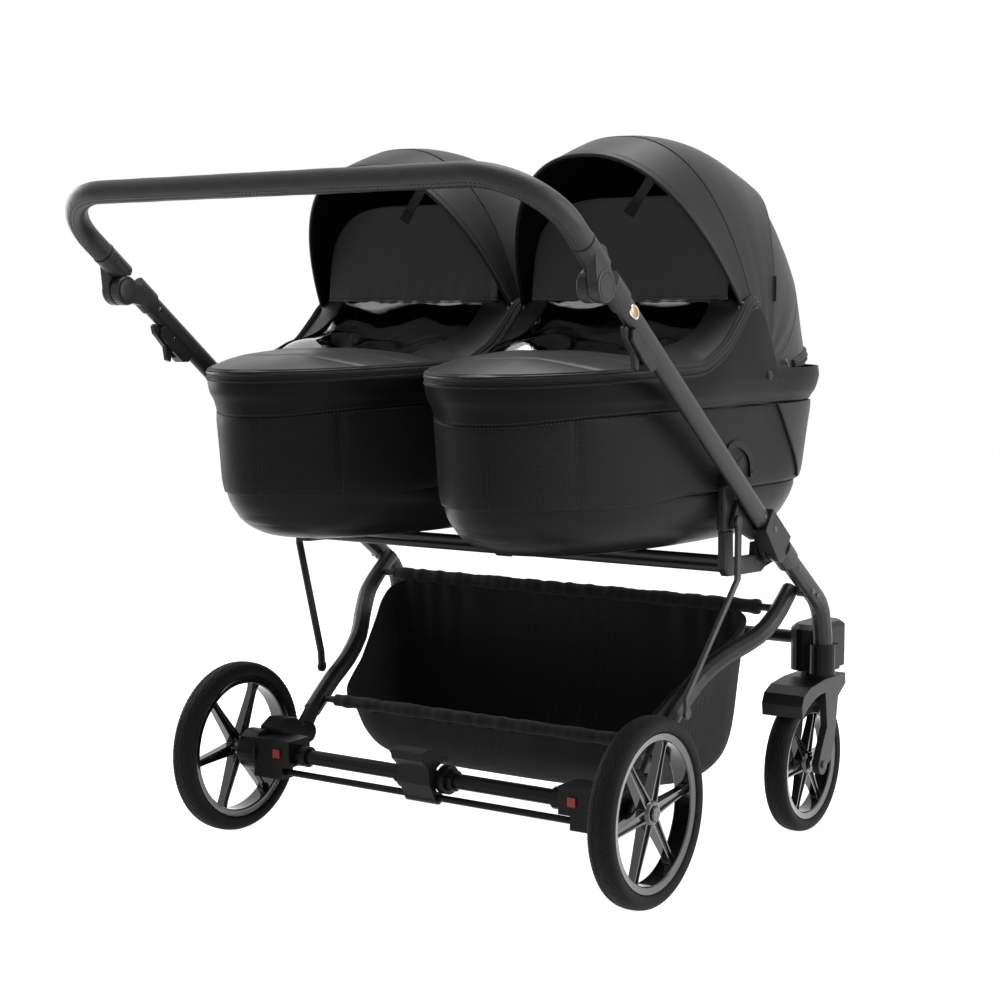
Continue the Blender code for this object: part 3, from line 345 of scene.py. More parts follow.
def make_floor():
    """A pale floor that stays white to the eye and still takes the pram's soft shadow."""
    mesh = bpy.data.meshes.new("floor")
    mesh.from_pydata([(-9, -9, 0), (9, -9, 0), (9, 9, 0), (-9, 9, 0)], [], [(0, 1, 2, 3)])
    floor = bpy.data.objects.new("floor", mesh)
    bpy.context.scene.collection.objects.link(floor)
    material = bpy.data.materials.new("studio_floor")
    material.use_nodes = True
    tree = material.node_tree
    shader = tree.nodes["Principled BSDF"]
    shader.inputs["Base Color"].default_value = (0.85, 0.85, 0.85, 1)
    shader.inputs["Roughness"].default_value = 0.9
    shader.inputs["Specular IOR Level"].default_value = 0.0
    shader.inputs["Emission Color"].default_value = (1, 1, 1, 1)
    lift = math_node(tree, "MULTIPLY", white_to_eye(tree), FLOOR_LIFT)
    tree.links.new(lift, shader.inputs["Emission Strength"])
    mesh.materials.append(material)


make_world()
make_floor()
soft_lamp("right", (3.0, 0.9, 1.5), (0, 0.1, 0.7), 1.4, 2.0, 62)
soft_lamp("left", (-2.8, 0.2, 1.3), (0, 0, 0.6), 1.2, 1.8, 34)
soft_lamp("top", (0.2, 0.5, 3.1), (0, 0.1, 0.7), 2.4, 2.0, 66)
bpy.context.scene.view_settings.view_transform = "Standard"

# %% [markdown]
# ## Finishes
#
# Almost everything is black, so the surfaces differ by how they shine, not by colour: matte powder
# coat, moulded plastic with a fine grain, smooth leatherette, pricked leatherette, woven polyester,
# rubber and gloss paint. Effects that several finishes share are node groups, built once. A group only
# puts out masks, heights and tones; the shader itself stays in each material.

# %% Node groups
def new_group(name, numbers, outputs=("Height", "Tone")):
    """An empty shader node group: a Vector input, named number inputs, and named number outputs."""
    group = bpy.data.node_groups.new(name, "ShaderNodeTree")
    group.interface.new_socket("Vector", in_out="INPUT", socket_type="NodeSocketVector")
    for label, value in numbers.items():
        socket = group.interface.new_socket(label, in_out="INPUT", socket_type="NodeSocketFloat")
        socket.default_value = value
    for label in outputs:
        group.interface.new_socket(label, in_out="OUTPUT", socket_type="NodeSocketFloat")
    return group, group.nodes.new("NodeGroupInput"), group.nodes.new("NodeGroupOutput")


def noise(tree, vector, scale, detail=2.0, roughness=0.5):
    """Noise between 0 and 1 at a scale per metre."""
    node = tree.nodes.new("ShaderNodeTexNoise")
    node.inputs["Detail"].default_value = detail
    node.inputs["Roughness"].default_value = roughness
    tree.links.new(vector, node.inputs["Vector"])
    if isinstance(scale, (int, float)):
        node.inputs["Scale"].default_value = scale
    else:
        tree.links.new(scale, node.inputs["Scale"])
    return node.outputs["Fac"]


def make_grain_group():
    """Leather grain: rounded cells from a smooth Voronoi, broken up by finer noise; tone is a slow
    patchiness."""
    group, given, put = new_group("leather_grain", {"Cells per metre": 700.0, "Patches per metre": 9.0})
    cells = group.nodes.new("ShaderNodeTexVoronoi")
    cells.feature = "SMOOTH_F1"
    cells.inputs["Smoothness"].default_value = 0.6
    group.links.new(given.outputs["Vector"], cells.inputs["Vector"])
    group.links.new(given.outputs["Cells per metre"], cells.inputs["Scale"])
    finer = math_node(group, "MULTIPLY", given.outputs["Cells per metre"], 2.3)
    fine = noise(group, given.outputs["Vector"], finer)
    domed = math_node(group, "MULTIPLY", cells.outputs["Distance"], -0.8)
    height = math_node(group, "MULTIPLY_ADD", fine, 0.35, domed)
    group.links.new(height, put.inputs["Height"])
    group.links.new(noise(group, given.outputs["Vector"], given.outputs["Patches per metre"], 4),
                    put.inputs["Tone"])
    return group


def make_weave_group():
    """Plain weave: the sign of two crossed sine waves picks the thread on top, and its own wave rounds it."""
    group, given, put = new_group("plain_weave", {"Threads per metre": 900.0})
    split = group.nodes.new("ShaderNodeSeparateXYZ")
    group.links.new(given.outputs["Vector"], split.inputs[0])
    turns = math_node(group, "MULTIPLY", given.outputs["Threads per metre"], 2 * math.pi)
    warp = math_node(group, "SINE", math_node(group, "MULTIPLY", split.outputs["X"], turns))
    weft = math_node(group, "SINE", math_node(group, "MULTIPLY", split.outputs["Y"], turns))
    crossing = math_node(group, "MULTIPLY", warp, weft)
    rounding = math_node(group, "MAXIMUM", math_node(group, "ABSOLUTE", warp),
                         math_node(group, "ABSOLUTE", weft))
    group.links.new(math_node(group, "MULTIPLY_ADD", crossing, 0.4, rounding), put.inputs["Height"])
    fleck = noise(group, given.outputs["Vector"], given.outputs["Threads per metre"], 1)
    slow = noise(group, given.outputs["Vector"], 14.0, 3)
    group.links.new(math_node(group, "MULTIPLY_ADD", fleck, 0.6, math_node(group, "MULTIPLY", slow, 0.4)),
                    put.inputs["Tone"])
    return group


def make_prick_group():
    """Round holes in staggered rows: every second row is shifted by half a pitch; mask is 1 inside a hole."""
    group, given, put = new_group("pricked_holes", {"Pitch": 0.004, "Hole": 0.0008}, ("Mask", "Height"))
    split = group.nodes.new("ShaderNodeSeparateXYZ")
    group.links.new(given.outputs["Vector"], split.inputs[0])
    pitch = given.outputs["Pitch"]
    nearest = []
    for shift in (0.0, 0.5):
        offsets = []
        for label in ("X", "Y"):
            cell = math_node(group, "ADD", math_node(group, "DIVIDE", split.outputs[label], pitch), shift)
            offset = math_node(group, "SUBTRACT", math_node(group, "FRACT", cell), 0.5)
            offsets.append(math_node(group, "MULTIPLY", offset, offset))
        nearest.append(math_node(group, "SQRT", math_node(group, "ADD", *offsets)))
    distance = math_node(group, "MULTIPLY", math_node(group, "MINIMUM", *nearest), pitch)
    mask = group.nodes.new("ShaderNodeMapRange")
    mask.interpolation_type = "SMOOTHSTEP"
    group.links.new(distance, mask.inputs["Value"])
    group.links.new(given.outputs["Hole"], mask.inputs["From Min"])
    group.links.new(math_node(group, "MULTIPLY", given.outputs["Hole"], 0.45), mask.inputs["From Max"])
    group.links.new(mask.outputs["Result"], put.inputs["Mask"])
    group.links.new(math_node(group, "MULTIPLY", mask.outputs["Result"], -1.0), put.inputs["Height"])
    return group


def make_wear_group():
    """Handling marks: slow smudges in the roughness and a few fine scuffs."""
    group, given, put = new_group("wear", {"Smudges per metre": 22.0}, ("Smudge", "Scuff"))
    smudge = noise(group, given.outputs["Vector"], given.outputs["Smudges per metre"], 5, 0.6)
    group.links.new(smudge, put.inputs["Smudge"])
    finer = math_node(group, "MULTIPLY", given.outputs["Smudges per metre"], 9.0)
    fine = noise(group, given.outputs["Vector"], finer, 3)
    scuff = math_node(group, "GREATER_THAN", math_node(group, "MULTIPLY", fine, smudge), 0.42)
    group.links.new(scuff, put.inputs["Scuff"])
    return group


GROUPS = {"grain": make_grain_group(), "weave": make_weave_group(), "holes": make_prick_group(),
          "wear": make_wear_group()}
print("groups:", ", ".join(sorted(GROUPS)))

# %% Finishes from the groups
def placed(tree, group_name, vector, **numbers):
    """Puts a group into a material with its own values."""
    node = tree.nodes.new("ShaderNodeGroup")
    node.node_tree = GROUPS[group_name]
    tree.links.new(vector, node.inputs["Vector"])
    for label, value in numbers.items():
        node.inputs[label.replace("_", " ")].default_value = value
    return node.outputs


def mixed(tree, factor, *colours):
    """Two colours mixed by a factor; each is three numbers or the output of another node."""
    node = tree.nodes.new("ShaderNodeMix")
    node.data_type = "RGBA"
    tree.links.new(factor, node.inputs["Factor"])
    for label, colour in zip("AB", colours):
        if isinstance(colour, tuple):
            node.inputs[label].default_value = (*colour, 1)
        else:
            tree.links.new(colour, node.inputs[label])
    return node.outputs["Result"]


def shade(tree, colour, tone, spread):
    """The colour, darker and lighter by spread as tone runs from 0 to 1."""
    dark, light = (tuple(part * share for part in colour) for share in (1 - spread, 1 + spread))
    return mixed(tree, tone, dark, light)


def bump(tree, height, distance):
    """A Bump node: height times distance, in metres, feeds the shader's normal."""
    node = tree.nodes.new("ShaderNodeBump")
    node.inputs["Distance"].default_value = distance
    tree.links.new(height, node.inputs["Height"])
    return node.outputs["Normal"]


def finish(name, specular, colour=(0.02, 0.02, 0.02), coat=0.0, metallic=0.0):
    """A new material: its tree, its shader, and its coordinate node."""
    material = bpy.data.materials.new(name)
    material.use_nodes = True
    tree = material.node_tree
    shader = tree.nodes["Principled BSDF"]
    shader.inputs["Base Color"].default_value = (*colour, 1)
    shader.inputs["Specular IOR Level"].default_value = specular
    shader.inputs["Coat Weight"].default_value = coat
    shader.inputs["Metallic"].default_value = metallic
    return material, tree, shader, tree.nodes.new("ShaderNodeTexCoord").outputs


def leatherette(name, colour, rough, cells, depth, specular=0.3, spread=0.18):
    """Smooth coated cloth: fine grain in the bump, slow patches in the colour and the gloss."""
    material, tree, shader, coordinates = finish(name, specular)
    grain = placed(tree, "grain", coordinates["Object"], Cells_per_metre=cells)
    wear = placed(tree, "wear", coordinates["Object"])
    tree.links.new(shade(tree, colour, grain["Tone"], spread), shader.inputs["Base Color"])
    tree.links.new(between(tree, wear["Smudge"], rough - 0.07, rough + 0.07), shader.inputs["Roughness"])
    tree.links.new(bump(tree, grain["Height"], depth), shader.inputs["Normal"])
    return material


def pricked(name, colour, rough, pitch, hole):
    """Leatherette with rows of needle holes, laid out on the cloth's own coordinates."""
    material, tree, shader, coordinates = finish(name, 0.11)
    holes = placed(tree, "holes", coordinates["UV"], Pitch=pitch, Hole=hole)
    grain = placed(tree, "grain", coordinates["Object"], Cells_per_metre=800.0)
    # The holes are painted near black: painted shade inside each hole.
    dark = mixed(tree, holes["Mask"], shade(tree, colour, grain["Tone"], 0.15), (0.0015, 0.0015, 0.0015))
    tree.links.new(dark, shader.inputs["Base Color"])
    tree.links.new(between(tree, holes["Mask"], rough, 0.95), shader.inputs["Roughness"])
    height = math_node(tree, "MULTIPLY_ADD", grain["Height"], 0.12, holes["Height"])
    tree.links.new(bump(tree, height, 0.0004), shader.inputs["Normal"])
    return material


def woven(name, colour, rough, threads, depth, spread=0.35, sheen=0.2):
    """Polyester cloth: a plain weave in the bump and melange flecks in the colour."""
    material, tree, shader, coordinates = finish(name, 0.15)
    weave = placed(tree, "weave", coordinates["UV"], Threads_per_metre=threads)
    tree.links.new(shade(tree, colour, weave["Tone"], spread), shader.inputs["Base Color"])
    tree.links.new(between(tree, weave["Tone"], rough - 0.1, rough + 0.1), shader.inputs["Roughness"])
    tree.links.new(bump(tree, weave["Height"], depth), shader.inputs["Normal"])
    shader.inputs["Sheen Weight"].default_value = sheen
    return material


def moulded(name, colour, rough, grain_depth, specular=0.4, coat=0.0, metallic=0.0, scuffs=0.3, soften=0.0):
    """Moulded plastic, powder coat, paint or metal: fine noise in the bump, smudges in the gloss, a few
    scuffs."""
    material, tree, shader, coordinates = finish(name, specular, colour, coat, metallic)
    wear = placed(tree, "wear", coordinates["Object"])
    fine = noise(tree, coordinates["Object"], 2600.0, 2)
    scuffed = tuple(min(part * 1.8 + 0.01, 1) for part in colour)
    marks = math_node(tree, "MULTIPLY", wear["Scuff"], scuffs)
    lit = mixed(tree, marks, shade(tree, colour, wear["Smudge"], 0.12), scuffed)
    tree.links.new(lit, shader.inputs["Base Color"])
    tree.links.new(between(tree, wear["Smudge"], max(rough - 0.08, 0.03), rough + 0.08),
                   shader.inputs["Roughness"])
    normal = bump(tree, fine, grain_depth)
    if soften:
        rounded = tree.nodes.new("ShaderNodeBevel")
        rounded.samples = 6
        rounded.inputs["Radius"].default_value = soften
        tree.links.new(rounded.outputs["Normal"], normal.node.inputs["Normal"])
    tree.links.new(normal, shader.inputs["Normal"])
    return material


PITCH = 0.0036
LEATHER = leatherette("black_leatherette", (0.018, 0.0172, 0.0172), 0.40, 900.0, 0.00006, specular=0.15)
# The apron is the hood's leatherette given a lighter colour: painted light on its upward-facing top.
APRON_LEATHER_PAINTED_LIGHT = leatherette("apron_leatherette_painted_light", (0.030, 0.0288, 0.0285), 0.38, 900.0, 0.00006, specular=0.32)
# The upper band is the same leatherette given a darker colour: painted shade on the side that faces away from
# the lamps.
BAND_LEATHER_PAINTED_SHADE = leatherette("band_leatherette_painted_shade", (0.010, 0.0096, 0.0096), 0.40, 900.0, 0.00006, specular=0.06)
GRIP_LEATHER = leatherette("grip_leatherette", (0.020, 0.0195, 0.0195), 0.38, 620.0, 0.0005, specular=0.3)
PRICKED = pricked("pricked_leatherette", (0.0185, 0.0178, 0.0178), 0.40, PITCH, 0.00105)
LINING = leatherette("dark_lining", (0.004, 0.004, 0.004), 0.85, 500.0, 0.0001, specular=0.05)
# The charcoal cloth's grey is partly its own colour and partly painted light, raised to make up for the shade
# inside the hood.
CHARCOAL_PAINTED_LIGHT = woven("charcoal_cloth_painted_light", (0.165, 0.160, 0.158), 0.8, 1500.0, 0.00005, spread=0.12)
BASKET_CLOTH = woven("basket_polyester", (0.017, 0.016, 0.016), 0.75, 850.0, 0.00025)
TAPE = woven("zip_tape", (0.007, 0.007, 0.007), 0.7, 1200.0, 0.0001)
THREAD = woven("sewing_thread", (0.035, 0.034, 0.035), 0.6, 3000.0, 0.00005)
# The zip teeth are a real zip, made pale grey as a painted highlight of the bright line where the film meets
# the panel's hem.
ZIP_TEETH_PAINTED_HIGHLIGHT = moulded("zip_teeth_painted_highlight", (0.09, 0.09, 0.095), 0.35, 0.00002, 0.5)
SHELL = moulded("satin_shell", (0.012, 0.0115, 0.0115), 0.34, 0.00005, 0.09)
PLASTIC = moulded("black_plastic", (0.016, 0.0155, 0.0155), 0.38, 0.00006, 0.24, soften=0.0022)
DARK_PLASTIC = moulded("dark_plastic", (0.007, 0.0068, 0.0068), 0.36, 0.00005, 0.12)
SOFT_PLASTIC = moulded("knuckle_plastic", (0.027, 0.026, 0.026), 0.40, 0.00005, 0.25)
POWDER = moulded("powder_coat", (0.024, 0.023, 0.023), 0.36, 0.00008, 0.28, soften=0.0040)
GLOSS = moulded("gloss_black", (0.006, 0.006, 0.006), 0.12, 0.00001, 0.5, coat=0.6)
RUBBER = moulded("tyre_rubber", (0.010, 0.0095, 0.0095), 0.60, 0.0002, 0.10, scuffs=0.5)
STEEL = moulded("black_zinc", (0.075, 0.073, 0.072), 0.3, 0.00002, 0.5, metallic=1.0)
RED = moulded("red_plastic", (0.45, 0.012, 0.010), 0.35, 0.00003, 0.45)
SILVER = moulded("badge_silver", (0.62, 0.62, 0.63), 0.18, 0.00001, 0.5, metallic=1.0)
BRASS = moulded("badge_brass", (0.36, 0.235, 0.125), 0.38, 0.00002, 0.5, metallic=1.0)


def clear_film():
    """Thin soft window film: see-through and wavy, with strong mirror-like highlights."""
    material, tree, shader, coordinates = finish("clear_film", 0.5, (0.88, 0.89, 0.90), coat=1.0)
    shader.inputs["Transmission Weight"].default_value = 1.0
    shader.inputs["IOR"].default_value = 1.75
    shader.inputs["Coat Roughness"].default_value = 0.03
    waves = noise(tree, coordinates["Object"], 9.0, 2)
    tree.links.new(between(tree, waves, 0.01, 0.05), shader.inputs["Roughness"])
    tree.links.new(bump(tree, waves, 0.006), shader.inputs["Normal"])
    return material


FILM = clear_film()

# %% Finishes for the rigid nodes that stay as they are
FINISH_GROUPS = (
    (POWDER, "front_leg front_cross_tube seat_cross_tubes handle_tube handlebar link rear_leg basket_rod"),
    (PLASTIC, "seat_bracket cot_adaptor hinge_upper release_housing release_lever fork"),
    (SOFT_PLASTIC, "handle_knuckle tilt_button"),
    (DARK_PLASTIC, "swivel_housing rear_axle hub_housing brake_rod brake_pedal"),
    (GLOSS, "rear_rim front_rim"), (RUBBER, "rear_tyre front_tyre"), (RED, "wheel_release"),
    (SILVER, "badge"), (GRIP_LEATHER, "grip"), (BASKET_CLOTH, "basket"), (PRICKED, "cot_tub"),
    (LEATHER, "hood apron"), (FILM, "window_flap"))
NODE_FINISH = {stem: material for material, stems in FINISH_GROUPS for stem in stems.split()}
for node_name, node in frame["nodes"].items():
    best = max((stem for stem in NODE_FINISH if node_name.startswith(stem)), key=len)
    node.data.materials.clear()
    node.data.materials.append(NODE_FINISH[best])

# %% [markdown]
# ## The carrycots
#
# A carrycot has a smooth moulded base, walls of pricked leatherette over foam, and a flaring band of
# plain leatherette under the rim. Seen from above, every level is the same kind of outline, so one
# function gives them all: a long half oval at the foot, straight sides, and a squarish round head. The
# rim rises into an ear on each side, beside the hood.

# %% The plan outline of every level
COT_CENTRES = {"right": 0.210, "left": -0.210}
FOOT_DEPTH, HEAD_DEPTH = 0.400, 0.200
COT_LEVELS = np.array([(0.112, -0.050, 0.450, 0.505), (0.162, -0.118, 0.520, 0.519),
                       (0.186, -0.163, 0.568, 0.560), (0.1905, -0.173, 0.583, 0.590),
                       (0.1955, -0.184, 0.610, 0.705), (0.2030, -0.195, 0.622, 0.735),
                       (0.2075, -0.200, 0.628, 0.757)])
EDGE_Y = (-0.26, -0.20, -0.129, -0.05, 0.04, 0.100, 0.128, 0.151, 0.191, 0.231, 0.257, 0.281, 0.305, 0.330,
          0.350, 0.380, 0.650)
EDGE_Z = (0.7565, 0.757, 0.7594, 0.763, 0.767, 0.7690, 0.7730, 0.782, 0.803, 0.837, 0.861, 0.868, 0.858,
          0.820, 0.785, 0.772, 0.772)
AROUND = 280


def on_cot(name, shapes, side, material, slot="leatherette", hood=False, sharp=0, **details):
    """A piece of one carrycot or its hood: named for its side, shifted to its centre, riding on its body."""
    shapes = shapes if isinstance(shapes, list) else [shapes]
    body = f"hood_{side}" if hood else f"cot_{side}"
    placed_shapes = [moved(shape, COT_CENTRES[side]) for shape in shapes]
    return piece(f"{name}_{side}", placed_shapes, body, material, slot, sharp=sharp, **details)


def plan_shares(count=AROUND):
    """One outline, spaced evenly and split into shares of its sizes: x, the straight, the head and the
    foot."""
    half, foot, head = 0.200, -0.190, 0.612
    t = np.linspace(0, np.pi, 321)
    head_end = np.stack([half * np.sign(np.cos(t)) * np.abs(np.cos(t)) ** (2 / 2.6),
                         head - HEAD_DEPTH + HEAD_DEPTH * np.abs(np.sin(t)) ** (2 / 2.6)], -1)
    foot_end = np.stack([-half * np.cos(t), foot + FOOT_DEPTH - FOOT_DEPTH * np.sin(t)], -1)
    x, y = evenly(np.vstack([head_end, foot_end]), count, closed=True).T
    head_base, foot_base = head - HEAD_DEPTH, foot + FOOT_DEPTH
    straight = np.clip((y - foot_base) / (head_base - foot_base), 0, 1)
    into_head = np.maximum(y - head_base, 0) / HEAD_DEPTH
    into_foot = np.maximum(foot_base - y, 0) / FOOT_DEPTH
    return x / half, straight, into_head, into_foot


SHARE_X, SHARE_Y, SHARE_HEAD, SHARE_FOOT = plan_shares()


def cot_surface(half, foot, head, z):
    """Points at x = half * share and y = foot base + straight + head end - foot end, for whole rows at
    once."""
    foot_depth = np.minimum(FOOT_DEPTH, head - foot - 0.22)
    x = half * SHARE_X
    y = foot + foot_depth * (1 - SHARE_FOOT) + (head - foot - foot_depth
                                                - HEAD_DEPTH) * SHARE_Y + HEAD_DEPTH * SHARE_HEAD
    return np.stack(np.broadcast_arrays(x, y, z), -1)


def cot_rows(rows):
    """A grid with one closed outline for each row of (half, foot, head, z)."""
    half, foot, head, z = (column[:, None] for column in np.asarray(rows).T)
    return cot_surface(half, foot, head, z)


def level_at(z):
    """Half width, foot and head of the outline at a height."""
    return [smooth_value(z, COT_LEVELS[:, 3], COT_LEVELS[:, k]) for k in range(3)]


def outward(points):
    """The outward direction in plan for each point of closed rings: the tangent turned by a right angle."""
    ahead = np.roll(points, -1, -2) - np.roll(points, 1, -2)
    return unit(np.stack([ahead[..., 1], -ahead[..., 0], np.zeros_like(ahead[..., 0])], -1))


def ring_cloth(points, pitch=None):
    """Cloth coordinates for closed rings: distance round the outline, fitted to whole pitches, and height."""
    rings = np.concatenate([points, points[:, :1]], 1)
    length = np.linalg.norm(np.diff(rings[len(rings) // 2], axis=0), axis=1).sum()
    if pitch:
        length = round(length / pitch) * pitch
    around = np.broadcast_to(np.linspace(0, length, rings.shape[1]), rings.shape[:2])
    return np.stack([around, rings[..., 2]], -1)


def cloth_area(points):
    """The area of a grid of points: half the length of each cell's crossed diagonals, summed."""
    first, second = points[1:, 1:] - points[:-1, :-1], points[1:, :-1] - points[:-1, 1:]
    return float(np.linalg.norm(np.cross(first, second), axis=-1).sum() / 2)


def rim_height(y):
    """The height of the rim's edge along the carrycot."""
    return smooth_value(y, EDGE_Y, EDGE_Z)


# %% [markdown]
# ### Base shell and walls
#
# The shell is one closed form with an outer and an inner skin. The wall above it is a stretched cover
# over foam: it bulges a little between its seams and is drawn in where the seams are sewn. A groove in
# the points would do alone, but a row of real stitches catches the light as thread does.

# %% Shell, pricked wall and upper band
SEAM_SHARES = (0.185, 0.330, 0.675, 0.739)
SEAM_DRAW = 0.0030


def wall_bottom(y):
    """Height of the seam between wall and shell: lower towards the foot."""
    return smooth_value(y, (-0.30, -0.10, 0.000, 0.040, 0.077, 0.115, 0.160, 0.70),
                        (0.5800, 0.5800, 0.5802, 0.5825, 0.5860, 0.5890, 0.5905, 0.5905))


def wall_top(y):
    """Height of the seam between wall and upper band: it dips at the foot."""
    return smooth_value(y, (-0.26, -0.19, -0.14, -0.05, 0.13, 0.70),
                        (0.6970, 0.6980, 0.7040, 0.7110, 0.7150, 0.7160))


def near(value, centre, width):
    """A smooth bump that is 1 at the centre and falls off over the width."""
    return np.exp(-((value - centre) / width) ** 2)


def sewn_in(width=0.0035):
    """How far the vertical seams draw each column in, from 0 to 1."""
    share = np.arange(AROUND) / AROUND
    length = 1.90
    return np.max([near(share * length, seam * length, width) for seam in SEAM_SHARES], 0)


def shell_rows():
    """The outer skin from the middle of the bottom to the lip, then the inner skin back down to the floor."""
    outer = smooth_rows([(0.060, -0.005, 0.400, 0.5035), (0.112, -0.050, 0.450, 0.5045),
                         (0.150, -0.100, 0.503, 0.5125), (0.1725, -0.136, 0.540, 0.5300),
                         (0.184, -0.159, 0.562, 0.5560), (0.1875, -0.1680, 0.576, 0.5760),
                         (0.1880, -0.1700, 0.579, 0.5860), (0.1865, -0.1690, 0.5775, 0.5890)], 34)
    inner = smooth_rows([(0.1835, -0.166, 0.574, 0.5885), (0.1800, -0.158, 0.562, 0.560),
                         (0.1600, -0.128, 0.530, 0.528), (0.0600, -0.005, 0.400, 0.524)], 14)
    return np.vstack([outer, inner])


def wall_grid():
    """The pricked wall: the outline at each height, pushed out by a foam bulge and drawn in at the seams."""
    v = np.linspace(0, 1, 34)[:, None]
    y = cot_surface(*level_at(0.65), 0.65)[:, 1]
    z = wall_bottom(y) + (wall_top(y) - wall_bottom(y)) * v
    half, foot, head = level_at(np.maximum(z, 0.588))
    points = cot_surface(half, foot, head, z)
    u = np.arange(AROUND) / AROUND * 2 * np.pi
    slack = 0.0009 * np.sin(11 * u + 3 * v) * np.sin(5 * u + 1) * v
    bulge = 0.0030 * (1 - (2 * v - 1) ** 8) - SEAM_DRAW * sewn_in() * (0.35 + 0.65 * v) + slack
    return points + outward(points) * bulge[..., None]


def band_grid():
    """The upper band: from the wall's upper seam flaring out to the rim, which rises into the ears."""
    v = np.linspace(0, 1, 26)[:, None]
    flat = cot_surface(*level_at(0.75), 0.75)
    top, bottom = rim_height(flat[:, 1]), wall_top(flat[:, 1])
    z = bottom + (top - bottom) * v
    half, foot, head = level_at(np.minimum(z, 0.757))
    points = cot_surface(half, foot, head, z)
    puff = 0.0022 * np.sin(np.pi * v) ** 0.7 - 0.0012 * near(v, 0.0, 0.05)
    ripple = 0.0005 * np.sin(np.arange(AROUND) / AROUND * 2 * np.pi * 17 + 4 * v) * np.sin(np.pi * v)
    return points + outward(points) * (puff + ripple)[..., None]


def stitches(path, facing, length=0.0042, pitch=0.0058, thick=0.0006):
    """Sewing thread: one short closed stitch per pitch, a stretched six-sided bead of five rings, along a
    path."""
    spaced = evenly(path, int(np.linalg.norm(np.diff(path, axis=0), axis=1).sum() / pitch))
    face = np.stack([np.interp(np.linspace(0, 1, len(spaced)), np.linspace(0, 1, len(path)), part)
                     for part in np.broadcast_to(facing, path.shape).T], -1)
    tangent = unit(np.gradient(spaced, axis=0))
    across = unit(np.cross(tangent, face))
    t = np.linspace(0, 2 * np.pi, 6, endpoint=False)
    along = np.array([-0.5, -0.36, 0.0, 0.36, 0.5]) * length
    width = np.array([0.0, 0.8, 1.0, 0.8, 0.0]) * thick
    points = (spaced[:, None, None] + tangent[:, None, None] * along[None, :, None, None]
              + across[:, None, None] * (width[:, None] * np.cos(t))[None, :, :, None]
              + unit(face)[:, None, None] * (width[:, None] * np.sin(t))[None, :, :, None])
    one = grid_shape(points[0], wrap_columns=True)
    count, size = len(spaced), 30
    faces = (np.array(one.faces)[None] + np.arange(count)[:, None, None] * size).reshape(-1, 4).tolist()
    return Shape(points.reshape(-1, 3), faces, np.zeros((4 * len(faces), 2)))


def make_cot_walls(side):
    """Base shell, pricked wall with its seams' thread, and the upper band of one carrycot."""
    shell = grid_shape(cot_rows(shell_rows()), wrap_columns=True, caps=True)
    base = on_cot("base_shell", shell, side, SHELL, "cot_side", sharp=50, replaces=[f"cot_tub_{side}"])
    wall = wall_grid()
    cover = grid_shape(wall, wrap_columns=True, cloth=ring_cloth(wall, PITCH))
    pricked_wall = on_cot("pricked_wall", cover, side, PRICKED, "cot_side", wall=0.003)
    band = band_grid()
    upper = grid_shape(band, wrap_columns=True, cloth=ring_cloth(band))
    # The upper band's darker colour is painted shade.
    top_band = on_cot("upper_band", upper, side, BAND_LEATHER_PAINTED_SHADE, wall=0.0028)
    face = outward(band[1:2])[0]
    rows = []
    for offset in (-0.0030, 0.0026):
        row = band[1] + face * 0.0012 + (0, 0, offset)
        rows.append(stitches(np.vstack([row, row[:1]]), np.vstack([face, face[:1]])))
    on_cot("band_stitches", rows, side, THREAD)


for cot_side in COT_CENTRES:
    make_cot_walls(cot_side)
print("walls round", round(cloth_area(wall_grid()) / 0.13, 3), "m; upper band",
      round(cloth_area(band_grid()), 3), "m2")

# %% [markdown]
# ### Zip and piping along the rim
#
# A chunky zip with piping on both sides runs round the foot end and climbs the front edge of each ear.
# It is a ridged bundle, so one ridged section is carried along the rim line.

# %% Rim zip, sliders and knobs
def rim_path(inset, lift, ear_y=0.286):
    """The rim from the left ear's top round the foot end to the right ear's top, inset and lifted."""
    half, foot, head = level_at(0.757)
    points = cot_surface(half - inset, foot + inset, head - inset, 0.0)
    y = points[:, 1]
    points[:, 2] = rim_height(y) + lift
    first = int(np.argmax(y < ear_y))
    return points[first:first + int((y < ear_y).sum())]


def ridged_section(radius, ridges=9, depth=0.13, steps=54):
    """A round section whose radius swells and shrinks: radius * (1 + depth * cos(ridges * angle))."""
    t = np.linspace(0, 2 * np.pi, steps, endpoint=False)
    swell = radius * (1 + depth * np.cos(ridges * t))
    return np.stack([0.8 * swell * np.cos(t), swell * np.sin(t)], -1)


def make_rim(side):
    """The rim's zip bundle, a thin piping under it, and a slider at the top of each ear."""
    bundle = sweep(rim_path(0.0052, 0.0058), ridged_section(0.0082))
    piping = sweep(rim_path(0.0002, -0.0035), circle(0.0019, 10))
    on_cot("rim_zip", [bundle, piping], side, TAPE)
    sliders = []
    for sign in (-1, 1):
        block = [(0.0001, 0), (0.0042, 0.0004), (0.0046, 0.0020), (0.0030, 0.0042), (0.0001, 0.0046)]
        tab = [(sign * 0.1975, 0.252, 0.873), (sign * 0.1950, 0.246, 0.868), (sign * 0.1940, 0.243, 0.856),
               (sign * 0.1940, 0.242, 0.846)]
        sliders += [turned(block, (sign * 0.1975, 0.252, 0.869), "z", 16),
                    sweep(tab, circle(0.0022, 10, 0.4), up=(0, 1, 0))]
    on_cot("rim_sliders", sliders, side, STEEL, "frame_coat", sharp=50)
    knob = turned([(0.0001, 0.0060), (0.0036, 0.0058), (0.0042, 0.0045), (0.0060, 0.0044), (0.0068, 0.0034),
                   (0.0070, 0.0002), (0.0070, -0.0020)], (0.2075, 0.3200, 0.7610), "x", 28)
    on_cot("hood_knob", knob if side == "right" else mirrored(knob), side, PLASTIC, "black_plastic", sharp=40)


